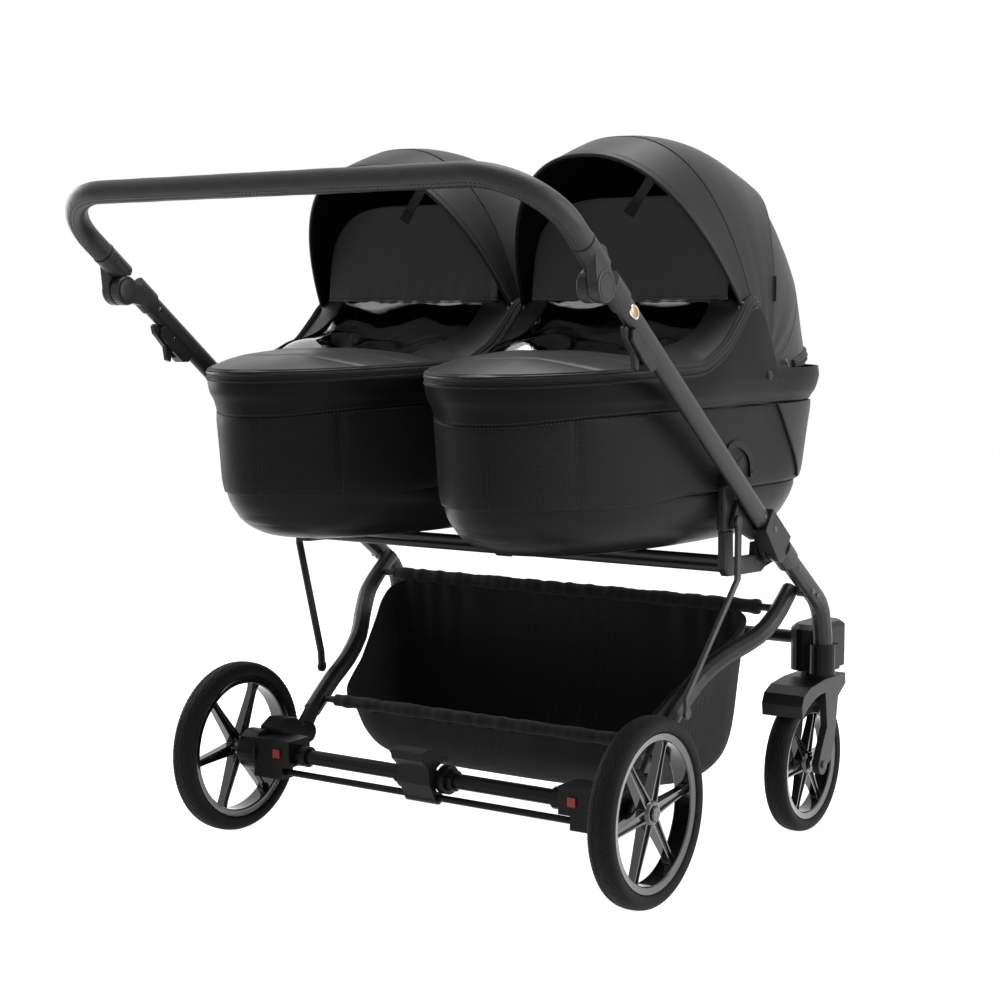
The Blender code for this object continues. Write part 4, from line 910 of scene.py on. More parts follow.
for cot_side in COT_CENTRES:
    make_rim(cot_side)

# %% [markdown]
# ### Apron, window and the panel in the hood
#
# The apron covers the foot end: leatherette over thin wadding, tight at its edge and crowned in the
# middle, with curved seams. Behind it a clear window slopes up to a charcoal panel that closes the hood.

# %% Apron
APRON_FOOT, APRON_BACK = -0.1995, 0.0560


def apron_half(y):
    """Half the apron's width, following the foot end's half oval: sqrt(1 - (how far into the end)^2)."""
    inset = np.clip(1 - (y - APRON_FOOT) / FOOT_DEPTH, 0, 0.9995)
    return 0.2040 * np.sqrt(1 - inset ** 2)


def apron_height(x, y):
    """Edge height of the rim plus a crown that rises from the foot and falls off to both sides."""
    across = np.clip(x / apron_half(y), -1, 1)
    eased = (y - APRON_FOOT) / (APRON_BACK - APRON_FOOT)
    dome = (1 - np.abs(across) ** 2.6) * (1 - (1 - eased) ** 3.2) * (1 - 0.22 * eased ** 3)
    return rim_height(y) + 0.0085 + 0.0270 * dome


def apron_grid(rows=80, columns=100):
    """The crowned sheet with sewn grooves and a little slack."""
    v = np.linspace(0, 1, rows)[:, None]
    across = np.sin(np.linspace(-1, 1, columns)[None] * np.pi / 2)
    y = APRON_FOOT + (APRON_BACK - APRON_FOOT) * v ** 1.8
    x = across * apron_half(y)
    groove = near(APRON_SEAMS[0](x) - y, 0, 0.0035) + near(APRON_SEAMS[1](x) - y, 0, 0.0035)
    wave = 0.0012 * np.sin(9 * x / 0.2 + 4 * v) * np.sin(7 * y / 0.2 + 2) * (1 - across ** 4)
    z = apron_height(x, y) - 0.0022 * groove + wave
    return np.stack(np.broadcast_arrays(x, y, z), -1)


def first_seam(x):
    """The seam nearer the foot, as y over x."""
    return -0.105 + 1.6 * x ** 2


def second_seam(x):
    """The seam nearer the hood."""
    return -0.047 + 2.1 * x ** 2


APRON_SEAMS = (first_seam, second_seam)


def make_apron(side):
    """The apron's sheet and the dark roll along its edge."""
    grid = apron_grid()
    cover = grid_shape(grid, cloth=grid[..., :2])
    # The apron's lighter colour is painted light on the cloth that faces the lamps.
    apron = on_cot("apron_cover", cover, side, APRON_LEATHER_PAINTED_LIGHT, closed=False, wall=0.0035,
                   replaces=[f"apron_{side}"])
    edge = np.vstack([grid[:, 0][::-1], grid[0, 1:-1], grid[:, -1]])
    roll = sweep(evenly(edge, 220), circle(0.0032, 12))
    on_cot("apron_roll", moved(roll, z=-0.0012), side, LEATHER)


for cot_side in COT_CENTRES:
    make_apron(cot_side)
print("apron", round(cloth_area(apron_grid()), 3), "m2")

# %% Window flap and hood panel
FLAP_LINE = [(0.0480, 0.7910), (0.0800, 0.7960), (0.1200, 0.8040), (0.1650, 0.8170), (0.2050, 0.8370),
             (0.2360, 0.8660), (0.2500, 0.8960)]
STRIP_SHARE = 0.735


def eased(value):
    """A smooth step: 0 up to 0, 1 from 1 on, and 3v^2 - 2v^3 between."""
    value = np.clip(value, 0, 1)
    return value ** 2 * (3 - 2 * value)


def flap_grid(u0, u1, lift=0.0, wavy=1.0, rows=60, columns=80):
    """The flap between two shares of its width: held at the rim on both sides, arched and slack between
    them."""
    line = smooth_rows(FLAP_LINE, rows)
    u = np.linspace(u0, u1, columns)[None]
    t = np.linspace(0, 1, rows)[:, None]
    y = line[:, :1] + 0 * u
    half = np.interp(line[:, :1], (0.05, 0.20), (0.1890, 0.2010))
    x = u * half
    side = rim_height(y) + 0.004
    arch = 1 - np.abs(u) ** 5
    slack = 0.0060 * np.sin(31 * x + 5.1 * t) * np.sin(6.2 * t + 9 * x + 0.6) - 0.0040 * np.sin(np.pi * t)
    ridge = 0.015 * near(np.abs(u), STRIP_SHARE, 0.20) * np.clip(t / 0.30, 0, 1) * (1 - t) ** 1.2
    hump = 0.021 * near(u, -0.46, 0.24) * eased(t / 0.24) * (1 - eased((t - 0.30) / 0.50))
    loose = slack * np.sin(np.pi * t) ** 0.6 * arch * wavy
    z = side + (line[:, 1:] - side) * arch + lift + ridge + hump + loose
    return np.stack(np.broadcast_arrays(x, y, z), -1)


def panel_grid(rows=44, columns=70):
    """The charcoal panel: width falls off round its top corners, and the cloth bellies and wrinkles at its
    hem."""
    t = np.linspace(0, 1, rows)[:, None] ** 0.8
    u = np.linspace(-1, 1, columns)[None]
    z = 0.8790 + 0.1580 * t
    half = smooth_value(z, (0.870, 0.887, 0.930, 0.959, 0.980, 0.998, 1.015, 1.027, 1.034, 1.040),
                        (0.1770, 0.1770, 0.1765, 0.1740, 0.1690, 0.1590, 0.1430, 0.1200, 0.0900, 0.0300))
    x = u * np.maximum(half, 0.05)
    hem = np.exp(-t * 5)
    y = 0.2430 + 0.020 * t + 0.007 * np.sin(np.pi * t) * (1 - u ** 2)
    y = y + hem * (0.0035 * np.sin(14 * u + 2) * np.abs(u) ** 2 + 0.0012 * np.sin(37 * u))
    return np.stack(np.broadcast_arrays(x, y, z), -1)


def make_window(side):
    """Clear film with a leatherette strip down each side, the charcoal panel, its hem and its thin zip,
    made pale as a painted highlight."""
    film = grid_shape(flap_grid(-STRIP_SHARE - 0.01, STRIP_SHARE + 0.01))
    window = on_cot("window_film", film, side, FILM, "clear_film", closed=False, wall=0.0006,
                    replaces=[f"window_flap_{side}"])
    for label, u0, u1 in (("left", -1.0, -STRIP_SHARE), ("right", STRIP_SHARE, 1.0)):
        grid = flap_grid(u0, u1, 0.0014, 0.4, columns=24)
        strip = on_cot(f"window_strip_{label}", grid_shape(grid, cloth=grid[..., :2]), side, LEATHER,
                       closed=False, wall=0.0022, edge=0.0006, sharp=60)
    grid = panel_grid()
    # The panel's charcoal is raised as painted light against the hood's shade.
    panel = on_cot("hood_panel", grid_shape(grid, cloth=grid[..., ::2]), side, CHARCOAL_PAINTED_LIGHT, closed=False,
                   wall=0.0016)
    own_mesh(panel)
    on_cot("panel_hem", sweep(grid[0] + (0, -0.001, 0), circle(0.0026, 12)), side, CHARCOAL_PAINTED_LIGHT)
    # The zip under the hem is pale as a painted highlight of that bright line.
    zip_line = sweep(grid[0, 22:66] + (0, -0.0028, -0.0045), circle(0.0011, 8))
    on_cot("panel_zip", zip_line, side, ZIP_TEETH_PAINTED_HIGHLIGHT, "frame_coat")


for cot_side in COT_CENTRES:
    make_window(cot_side)

# %% [markdown]
# ### Hoods
#
# A hood is cloth over hoops that all turn about one line beside the baby's shoulders. So an arch at
# lean angle a is a squarish half oval about that line, and the hood is those arches fanned from the tail
# to the rim. Between hoops the cloth sags a little; at a hoop it is drawn over a seam.

# %% Hood surface
HOOD_Y, HOOD_Z = 0.315, 0.761
HOOD_ANGLES = (-87.3, -72.0, -57.4, -42.8, -27.6, -15.4, -0.8, 12.0, 22.3, 32.0)
HOOD_RADII = (0.3300, 0.3262, 0.334, 0.346, 0.3566, 0.357, 0.366, 0.3752, 0.3826, 0.3885)
RIM_ANGLE, MIDDLE_SEAM, REAR_SEAM, TAIL_ANGLE = 32.0, 15.5, -28.0, -87.0
ARCH_STEPS = 60


def fan_angles(first, last, seams, steps=60):
    """Angles from first to last, closer together beside the seams."""
    close = [seam + np.linspace(-1.6, 1.6, 13) for seam in seams]
    angles = np.unique(np.round(np.concatenate([np.linspace(first, last, steps), *close]), 4))
    return angles[(angles >= min(first, last)) & (angles <= max(first, last))]


@functools.lru_cache(maxsize=None)
def arch_table(width, sink, columns):
    """Plain arches at even lean angles: x = width * cos(v)^p, reach = radius * sin(v)^p."""
    arches = []
    for angle in np.linspace(TAIL_ANGLE, RIM_ANGLE, ARCH_STEPS + 1):
        radius = float(smooth_value(np.array(angle), HOOD_ANGLES, HOOD_RADII)) - sink
        power = 2 / float(np.interp(angle, (-87, -28, 0, 32), (2.6, 2.5, 2.45, 2.25)))
        v = np.linspace(0.012, np.pi - 0.012, 400)
        arch = np.stack([width * np.sign(np.cos(v)) * np.abs(np.cos(v)) ** power,
                         radius * np.sin(v) ** power], -1)
        arches.append(evenly(arch, columns))
    return np.stack(arches)


def seam_lean(angle, columns):
    """Each column's own lean: both seams run nearer to the rim at their ends than over the crown."""
    end = np.abs(np.linspace(-1, 1, columns))
    rear = np.interp(end, (0.0, 0.3, 0.55, 1.0), (REAR_SEAM, -25.0, -18.0, -17.0))
    middle = MIDDLE_SEAM + 4.0 * end ** 1.5
    return np.array([np.interp(angle, (TAIL_ANGLE, REAR_SEAM, MIDDLE_SEAM, RIM_ANGLE),
                               (TAIL_ANGLE, back, front, RIM_ANGLE)) for back, front in zip(rear, middle)])


def hood_surface(angles, width, sink=0.0, seams=(), sag=0.0028, columns=110):
    """The fan of arches, each point leaning by its own angle, with sag between hoops and folds beside the
    line of turn."""
    hoops = np.array([TAIL_ANGLE, -58.0, REAR_SEAM, MIDDLE_SEAM, RIM_ANGLE])
    table = arch_table(width, sink, columns)
    every = np.arange(columns)
    rows = []
    for angle in angles:
        leans = seam_lean(angle, columns)
        place = (leans - TAIL_ANGLE) / (RIM_ANGLE - TAIL_ANGLE) * ARCH_STEPS
        step = np.clip(place.astype(int), 0, ARCH_STEPS - 1)
        part = (place - step)[:, None]
        arch = table[step, every] * (1 - part) + table[step + 1, every] * part
        radius = arch[:, 1].max()
        low = hoops[hoops <= angle].max(initial=TAIL_ANGLE)
        high = hoops[hoops >= angle].min(initial=RIM_ANGLE)
        share = (angle - low) / max(high - low, 1e-6)
        lift = arch[:, 1] / radius
        drawn = sag * np.sin(np.pi * share) * lift
        drawn = drawn + 0.0016 * sum(near(angle, seam, 0.45) for seam in seams)
        fading = np.exp(-3.0 * lift) * (1 - near(angle, RIM_ANGLE, 4))
        tension = 0.0006 * np.sin(angle * 0.42 + 3 * arch[:, 0] / width) * fading
        inward = unit(np.stack([-arch[:, 0] / width ** 2, -arch[:, 1] / radius ** 2], -1))
        arch = arch + inward * (drawn + tension)[:, None]
        lean = np.radians(leans)
        rows.append(np.stack([arch[:, 0], HOOD_Y - arch[:, 1] * np.sin(lean),
                              HOOD_Z + arch[:, 1] * np.cos(lean)], -1))
    return np.stack(rows)


def hoop_line(angle, width, sink=0.0, columns=110):
    """The line of one arch."""
    return hood_surface([angle], width, sink, columns=columns)[0]


def hood_sheet(name, grid, flat, side, hood, material, wall, replaces=()):
    """One stretched sheet of a hood, with cloth coordinates spread over its flat width and length."""
    cloth = cloth_grid(np.linspace(0, flat[1], len(grid)), np.linspace(0, flat[0], grid.shape[1]))
    sheet = on_cot(name, grid_shape(grid, cloth=cloth), side, material, hood=hood, closed=False, wall=wall,
                   replaces=replaces)


def make_hood_cloth(side):
    """Front and rear cloth, their dark linings, and the hem along the rim."""
    seams = (MIDDLE_SEAM, RIM_ANGLE - 1.7)
    front_angles = fan_angles(REAR_SEAM, RIM_ANGLE, seams)
    rear_end = REAR_SEAM + 2.5
    front = hood_surface(front_angles, 0.2038, 0.0, seams)
    hood_sheet("hood_front_cloth", front, (0.97, 0.37), side, True, LEATHER, 0.0018, [f"hood_front_{side}"])
    rear = hood_surface(fan_angles(TAIL_ANGLE, rear_end, (-58.0,)), 0.1976, 0.0052)
    hood_sheet("hood_rear_cloth", rear, (0.93, 0.35), side, False, LEATHER, 0.0018, [f"hood_rear_{side}"])
    front_under = hood_surface(front_angles[::3], 0.2014, 0.0026, columns=60)
    hood_sheet("front_lining", front_under, (0.93, 0.36), side, True, LINING, 0.0006)
    rear_under = hood_surface(np.linspace(TAIL_ANGLE, rear_end, 22), 0.1945, 0.0084, columns=60)
    hood_sheet("rear_lining", rear_under, (0.92, 0.34), side, False, LINING, 0.0006)
    hem = hood_surface(np.linspace(RIM_ANGLE - 1.7, RIM_ANGLE - 0.1, 6), 0.2047, -0.0010, sag=0.0)
    hood_sheet("rim_hem", hem, (0.95, 0.0115), side, True, LEATHER, 0.0010)


def make_hood_seams(side):
    """The two raised seams, the round edge of the rim, and three rows of stitches."""
    lines = [sweep(hoop_line(MIDDLE_SEAM, 0.2044, -0.0004), circle(0.0017, 8), up=(0, -1, 0.02)),
             sweep(hoop_line(REAR_SEAM + 0.15, 0.2044, -0.0004), circle(0.0018, 8), up=(0, -1, 0.5))]
    on_cot("hood_seams", lines, side, TAPE, hood=True)
    rim = sweep(hoop_line(RIM_ANGLE, 0.2042, -0.0008), circle(0.0032, 14), up=(0, -1, -0.6))
    on_cot("hood_rim", rim, side, LEATHER, hood=True)
    sewn = []
    for angle, width, sink in ((MIDDLE_SEAM - 0.55, 0.2043, -0.0006), (REAR_SEAM + 0.75, 0.2043, -0.0006),
                               (RIM_ANGLE - 1.45, 0.2046, -0.0022)):
        line = hoop_line(angle, width, sink)[4:-4]
        sewn.append(stitches(line, unit(line - (0, HOOD_Y, HOOD_Z)), pitch=0.0054, thick=0.0005))
    on_cot("hood_stitches", sewn, side, THREAD, hood=True)


for cot_side in COT_CENTRES:
    make_hood_cloth(cot_side)
    make_hood_seams(cot_side)

# %% [markdown]
# ## Wheels
#
# Air tyres on gloss six-spoke rims. A tyre is one squarish section spun round the axle, and its tread is
# cut by making the radius depend on the angle. A bump map would be cheaper, but the tread shows in the
# tyre's outline. The spokes have raised edges on both faces, so their section is an H.

# %% Tyres and rims
def signed_power(value, power):
    """The value's size to a power, with its sign kept."""
    return np.sign(value) * np.abs(value) ** power


def tyre_shape(centre, outer, bead, width, waves, steps):
    """A squarish section spun round the axle, with two wavy grooves, ribbed shoulders and rings on the
    walls."""
    a = np.linspace(-np.pi, np.pi, 110, endpoint=False)[:, None]
    t = np.linspace(0, 2 * np.pi, steps, endpoint=False)[None]
    share = signed_power(np.sin(a), 0.80)
    radius = (outer + bead) / 2 + (outer - bead) / 2 * signed_power(np.cos(a), 0.74)
    tread = np.clip(np.cos(a) * 3 - 0.6, 0, 1)
    groove = sum(near(share, sign * (0.34 + 0.075 * np.sin(waves * t)), 0.045) for sign in (-1, 1))
    shoulder = np.clip((np.abs(share) - 0.46) / 0.06, 0, 1) * np.clip((1.0 - np.abs(share)) / 0.08, 0, 1)
    ribs = 0.5 + 0.5 * np.sin(3.5 * waves * t + 9 * share)
    radius = radius - tread * (0.0013 * groove + 0.0009 * shoulder * ribs ** 2)
    rings = sum(near(radius, bead + up * (outer - bead), wide)
                for up, wide in ((0.20, 0.0009), (0.52, 0.0006)))
    x = share * (width / 2 + 0.0006 * rings * (1 - tread))
    points = np.stack(np.broadcast_arrays(x, radius * np.cos(t), radius * np.sin(t)), -1) + np.asarray(centre)
    return grid_shape(points, wrap_rows=True, wrap_columns=True)


def ring_turned(section, centre, steps=96):
    """Spins a closed section of (radius, x) round the axle, as a ring."""
    section = np.asarray(section, float)[:, None]
    t = np.linspace(0, 2 * np.pi, steps, endpoint=False)[None]
    points = np.stack(np.broadcast_arrays(section[..., 1], section[..., 0] * np.cos(t),
                                          section[..., 0] * np.sin(t)), -1)
    return grid_shape(points + np.asarray(centre), wrap_rows=True, wrap_columns=True)


SPOKE_SECTION = np.array([(-1, -1), (-0.60, -1), (-0.48, -0.45), (0.48, -0.45), (0.60, -1), (1, -1), (1, 1),
                          (0.60, 1), (0.48, 0.45), (-0.48, 0.45), (-0.60, 1), (-1, 1)])


def spoke_shape(centre, angle, reach):
    """One tapered spoke: the H section at stations from hub to rim, as (distance, half width, half depth)."""
    stations = smooth_rows([(0.012, 0.0105, 0.0088), (0.026, 0.0092, 0.0078), (0.6 * reach, 0.0072, 0.0066),
                            (reach - 0.012, 0.0062, 0.0060), (reach, 0.0090, 0.0058)], 16)
    outward_way = np.array([0, math.cos(angle), math.sin(angle)])
    across_way = np.array([0, -math.sin(angle), math.cos(angle)])
    points = (np.asarray(centre) + stations[:, None, :1] * outward_way
              + (stations[:, 1:2] * SPOKE_SECTION[:, 0])[..., None] * across_way
              + (stations[:, 2:] * SPOKE_SECTION[:, 1])[..., None] * np.array([1.0, 0, 0]))
    return grid_shape(points, wrap_columns=True, caps=True)


def rim_shapes(centre, outer, half, inner_face, outer_face, cap):
    """The rim band, six spokes, the hub and its cap."""
    x, y, z = centre
    band = [(outer - 0.0010, -half), (outer + 0.0022, -half - 0.0008), (outer + 0.0026, -half + 0.0012),
            (outer - 0.0004, -half + 0.0032), (outer - 0.0004, half - 0.0032),
            (outer + 0.0026, half - 0.0012), (outer + 0.0022, half + 0.0008), (outer - 0.0010, half),
            (outer - 0.0075, half - 0.0010), (outer - 0.0090, half - 0.0030),
            (outer - 0.0090, -half + 0.0030), (outer - 0.0075, -half + 0.0010)]
    shapes = [ring_turned(band, centre)]
    shapes += [spoke_shape(centre, math.radians(60 * k + 7), outer - 0.0080) for k in range(6)]
    shapes.append(turned([(0.0001, inner_face), (0.0165, inner_face), (0.0185, inner_face + 0.002),
                          (0.0185, -0.008), (0.0205, -0.004), (0.0205, 0.004), (0.0185, outer_face - 0.002),
                          (0.0165, outer_face), (0.0128, outer_face + 0.0004), (0.0124, outer_face - 0.0010),
                          (0.0001, outer_face - 0.0010)], centre, "x", 48))
    shapes.append(turned([(0.0001, outer_face - 0.002), (0.0112, outer_face - 0.002),
                          (0.0112, outer_face + cap * 0.6), (0.0096, outer_face + cap * 0.92),
                          (0.0050, outer_face + cap), (0.0046, outer_face + cap - 0.0008),
                          (0.0001, outer_face + cap - 0.0008)], centre, "x", 32))
    return shapes


WHEELS = {"rear": ((0.3927, 0.0, 0.1400), 0.1400, 0.1142, 0.041, 34, 476, (-0.0250, 0.0118, 0.0050)),
          "front": ((0.3910, 0.5210, 0.1144), 0.1144, 0.0911, 0.038, 28, 420, (-0.0130, 0.0130, 0.0022))}
for place, (centre, outer, bead, width, waves, steps, hub) in WHEELS.items():
    tyre = tyre_shape(centre, outer, bead, width, waves, steps)
    rim = rim_shapes(centre, bead - 0.0004, width * 0.38, *hub)
    for wheel_side in ("right", "left"):
        turn = mirrored if wheel_side == "left" else moved
        wheel = f"{place}_wheel_{wheel_side}"
        piece(f"{place}_tread_{wheel_side}", turn(tyre), wheel, RUBBER, "tyre_rubber", sharp=35,
              replaces=[f"{place}_tyre_{wheel_side}"])
        piece(f"{place}_spokes_{wheel_side}", [turn(shape) for shape in rim], wheel, GLOSS, "gloss_rim",
              edge=0.0007, sharp=38, replaces=[f"{place}_rim_{wheel_side}"])
print("wheels done:", ", ".join(WHEELS))

# %% [markdown]
# ## Handle
#
# The bar is wrapped in grained leatherette, sewn along its underside. Its path is exact: two straight
# arms in line with the side tubes and a quarter circle at each corner. The seam is a groove pressed
# into the round section, with thread on both sides.

# %% Grip with its seam
TUBE_WAY = np.array([0.0, 0.7893, -0.6140])
TUBE_UP = np.array([0.0, 0.6140, 0.7893])


def on_tube(s, p=0.0, x=0.432):
    """A point s along the side tube's line and p above it."""
    return np.array([x, 0.2266, 0.58]) + s * TUBE_WAY + p * TUBE_UP


def handle_path(start, bend=0.108, count=420):
    """Arm, quarter circle, bar, quarter circle, arm, evenly spaced."""
    first, corner = on_tube(start), np.array([0.432, -0.3550, 1.0310])
    arm = unit(first - corner)
    side = np.array([1.0, 0, 0])
    centre = corner + bend * (arm - side)
    a = np.linspace(0, np.pi / 2, 60)[:, None]
    right = np.vstack([first[None], centre + bend * (np.cos(a) * side - np.sin(a) * arm)])
    return evenly(np.vstack([right, right[::-1] * (-1, 1, 1)]), count)


def grip_shape(path, radius=0.0170, steps=72):
    """A round section with a pressed-in seam below, lightly uneven, and creased inside the bends."""
    shape = sweep(path, circle(radius, steps), up=TUBE_UP)
    phase = np.linspace(0, 2 * np.pi, steps, endpoint=False)[None]
    along = np.linspace(0, 1, len(path))[:, None]
    rings = shape.points.reshape(len(path), steps, 3)
    normal = unit(rings - path[:, None])
    seam = near(np.angle(np.exp(1j * (phase + np.pi / 2))), 0, 0.075)
    bends = near(along, 0.225, 0.06) + near(along, 0.775, 0.06)
    inside = np.clip(np.abs(np.cos(phase)), 0, 1) ** 2 * (normal[..., 0] * np.sign(path[:, None, 0]) < 0)
    creases = bends * inside * np.sin(along * 1100 + 2 * np.sin(3 * phase))
    uneven = 0.00022 * np.sin(61 * along + 2 * phase) * np.sin(23 * along + 1)
    depth = -0.0011 * seam - 0.0004 * creases + uneven + 0.0003 * near(np.abs(along - 0.5), 0.5, 0.004)
    open_ended = shape.corners[:-2 * steps]
    return Shape((rings + normal * depth[..., None]).reshape(-1, 3), shape.faces[:-2], open_ended)


bar_path = handle_path(-0.5990)
grip = piece("grip_cover", grip_shape(bar_path), "handle", GRIP_LEATHER, "grip_leatherette", closed=False,
             wall=0.0015, sharp=0, replaces=["grip"])
sideways = unit(np.cross(unit(np.gradient(bar_path, axis=0)), TUBE_UP))
seam_rows = [stitches(bar_path - 0.0168 * TUBE_UP + sign * 0.0030 * sideways, -TUBE_UP, pitch=0.0066)
             for sign in (-1, 1)]
piece("grip_stitches", seam_rows, "handle", THREAD, "grip_leatherette", sharp=0)

# %% [markdown]
# ## Caps, rivets and screws
#
# These are all lathe work: one short profile spun about its own axis. The knuckles' flat faces carry an
# inset circle, rivets have a domed head, and screws have a recess.

# %% Small turned parts
DOME = [(0.0001, 0.0016), (0.0022, 0.0014), (0.0036, 0.0006), (0.0040, 0.0), (0.0040, -0.001),
        (0.0001, -0.001)]
SCREW = [(0.0001, -0.0006), (0.0013, -0.0006), (0.0015, 0.0008), (0.0026, 0.0008), (0.0032, 0.0002),
         (0.0032, -0.001), (0.0001, -0.001)]
FACE = [(0.0001, 0.0007), (0.0166, 0.0007), (0.0170, 0.0001), (0.0177, 0.0001), (0.0181, 0.0007),
        (0.0205, 0.0006), (0.0217, 0.0), (0.0217, -0.0015), (0.0001, -0.0015)]
BUTTON_FACE = [(0.0001, 0.0012), (0.0090, 0.0010), (0.0150, 0.0006), (0.0172, 0.0), (0.0172, -0.001),
               (0.0001, -0.001)]


def turned_on(profile, place, way, size=1.0):
    """A lathe profile set on a face at a place, its axis pointing along x by way, +1 or -1."""
    return turned(np.asarray(profile) * (size, size * way), place, "x", 28)


def on_side(name, shapes, side, body, material, slot="black_plastic"):
    """A piece on one side of the frame, made for the right and mirrored for the left."""
    turn = mirrored if side == "left" else moved
    piece(f"{name}_{side}", [turn(shape) for shape in shapes], body, material, slot)


KNOB = (-0.2125, 0.8910)


def make_fasteners(side):
    """Caps on the knuckle, the collar's ring and screw, and the rivets of the upper frame and the chassis."""
    on_side("knuckle_cap", [turned_on(FACE, (0.4490, *KNOB), 1)], side, "handle", SOFT_PLASTIC)
    on_side("button_face", [turned_on(BUTTON_FACE, (0.4130, *KNOB), -1)], side, f"tilt_button_{side}",
            SOFT_PLASTIC)
    collar_screw = turned_on(SCREW, on_tube(-0.5853, -0.0017, 0.4146), -1)
    collar_ring = sweep([on_tube(-0.5990 + step, 0) for step in (-0.0004, 0.0004)], circle(0.01815, 40),
                        up=TUBE_UP)
    on_side("collar_trim", [collar_screw, collar_ring], side, "handle", PLASTIC)
    upper = [turned_on(DOME, on_tube(s, 0, 0.4208), -1) for s in (-0.4839, -0.4591)]
    upper += [turned_on(DOME, on_tube(0.052, 0, 0.4430), 1),
              turned_on(DOME, on_tube(0.086, 0, 0.4465), 1, 1.2),
              turned_on(SCREW, on_tube(-0.403, -0.016, 0.4410), 1),
              turned_on(SCREW, on_tube(-0.403, -0.016, 0.4230), -1)]
    on_side("upper_rivets", upper, side, "upper_frame", STEEL, "frame_coat")
    lower = [turned_on(DOME, on_tube(s, 0, 0.4470), 1) for s in (0.195, 0.282)]
    lower += [turned_on(DOME, (0.4445, 0.437, 0.415), 1, 1.6),
              turned_on(SCREW, (0.4150, 0.300, 0.4750), 1, 1.2)]
    on_side("lower_rivets", lower, side, "chassis", STEEL, "frame_coat")


def make_badge():
    """A plain oval badge on the right tube: two round profiles stretched along the tube."""
    ring = [(0.0001, 0.0006), (0.0088, 0.0006), (0.0094, 0.0014), (0.0102, 0.0014), (0.0106, 0.0004),
            (0.0106, -0.0010), (0.0001, -0.0010)]
    disc = [(0.0001, 0.0012), (0.0080, 0.0011), (0.0087, 0.0006), (0.0087, -0.0005), (0.0001, -0.0005)]
    axes = np.stack([np.array([1.0, 0, 0]), TUBE_WAY * 1.15, TUBE_UP * 0.86])
    for name, profile, material in (("badge_ring", ring, SILVER), ("badge_centre", disc, BRASS)):
        shape = turned(profile, (0, 0, 0), "x", 48)
        oval = Shape(shape.points @ axes + on_tube(-0.4527, -0.001, 0.4430), shape.faces, shape.corners)
        piece(name, oval, "upper_frame", material, "badge_metal")


make_fasteners("right")
make_badge()
make_fasteners("left")

# %% [markdown]
# ## Shopping basket
#
# Woven polyester hangs from two rods: a deep bag whose sides follow the rear legs. Each level is a
# rounded rectangle, and the cloth gathers below its hems, so the folds are deep at the top and fade
# downwards.

# %% Basket cloth
ROD_REAR, ROD_FRONT = np.array([0.138, 0.205]), np.array([0.402, 0.387])
BASKET_SIDE_Y = (0.138, 0.184, 0.220, 0.250, 0.300, 0.340, 0.390)
BASKET_SIDE_X = (0.294, 0.297, 0.303, 0.313, 0.334, 0.352, 0.368)
BASKET_LEVELS = np.array([(0.236, 0.1050, 0.325, 0.1035, 0.150, 2.6),
                          (0.205, 0.1060, 0.352, 0.1035, 0.078, 3.0),
                          (0.167, 0.1200, 0.392, 0.1260, 0.042, 4.0),
                          (0.146, 0.1500, 0.414, 0.1800, 0.024, 5.5),
                          (0.139, 0.1850, 0.414, 0.3000, 0.012, 7.0),
                          (0.137, 0.2040, 0.402, 0.3860, 0.001, 8.0)])


BASKET_ROWS, BASKET_AROUND = 110, 420


def basket_grid(rows=BASKET_ROWS, around=BASKET_AROUND):
    """Levels of (rear y, z, front y, z, inset, squareness) made smooth, each a squarish oval between its
    two sides."""
    level = smooth_rows(BASKET_LEVELS, rows)
    t = (np.arange(around) + 0.5) / around * 2 * np.pi
    power = 2 / level[:, 5:]
    across = signed_power(np.cos(t), power)
    along = signed_power(np.sin(t), power) * 0.5 + 0.5
    y = level[:, 0:1] + (level[:, 2:3] - level[:, 0:1]) * along
    z = level[:, 1:2] + (level[:, 3:4] - level[:, 1:2]) * along
    top_y = ROD_REAR[0] + (ROD_FRONT[0] - ROD_REAR[0]) * along
    half = np.interp(top_y, BASKET_SIDE_Y, BASKET_SIDE_X) - level[:, 4:5]
    height = np.linspace(0, 1, rows)[:, None]
    gather = np.exp(-(1 - height) * 7) * (1 - np.abs(across) ** 6)
    x_place = across * half
    folds = 0.0042 * gather * np.sin(118 * x_place + 3 * np.sin(21 * x_place))
    slack = 0.0035 * np.sin(np.pi * height) * np.sin(9 * x_place + 5 * height) * np.sin(23 * y + 2)
    crease = -0.0030 * near(z, 0.290, 0.006) * (along > 0.9)
    push = folds + slack + crease
    y = y + push * np.sign(np.sin(t)) * (np.abs(np.sin(t)) > 0.35)
    x_place = x_place + 0.6 * push * np.sign(np.cos(t)) * (np.abs(np.cos(t)) > 0.75)
    return np.stack(np.broadcast_arrays(x_place, y, z), -1)


def hem_shape(rod, half_length, radius):
    """A cloth tube round a rod, puckered along its length."""
    x = np.linspace(-half_length, half_length, 220)
    path = np.stack([x, np.full_like(x, rod[0]), np.full_like(x, rod[1])], -1)
    pucker = 1 + 0.07 * np.sin(x * 118 + 3 * np.sin(21 * x)) + 0.03 * np.sin(x * 301)
    return sweep(path, circle(radius, 22), scale=pucker)


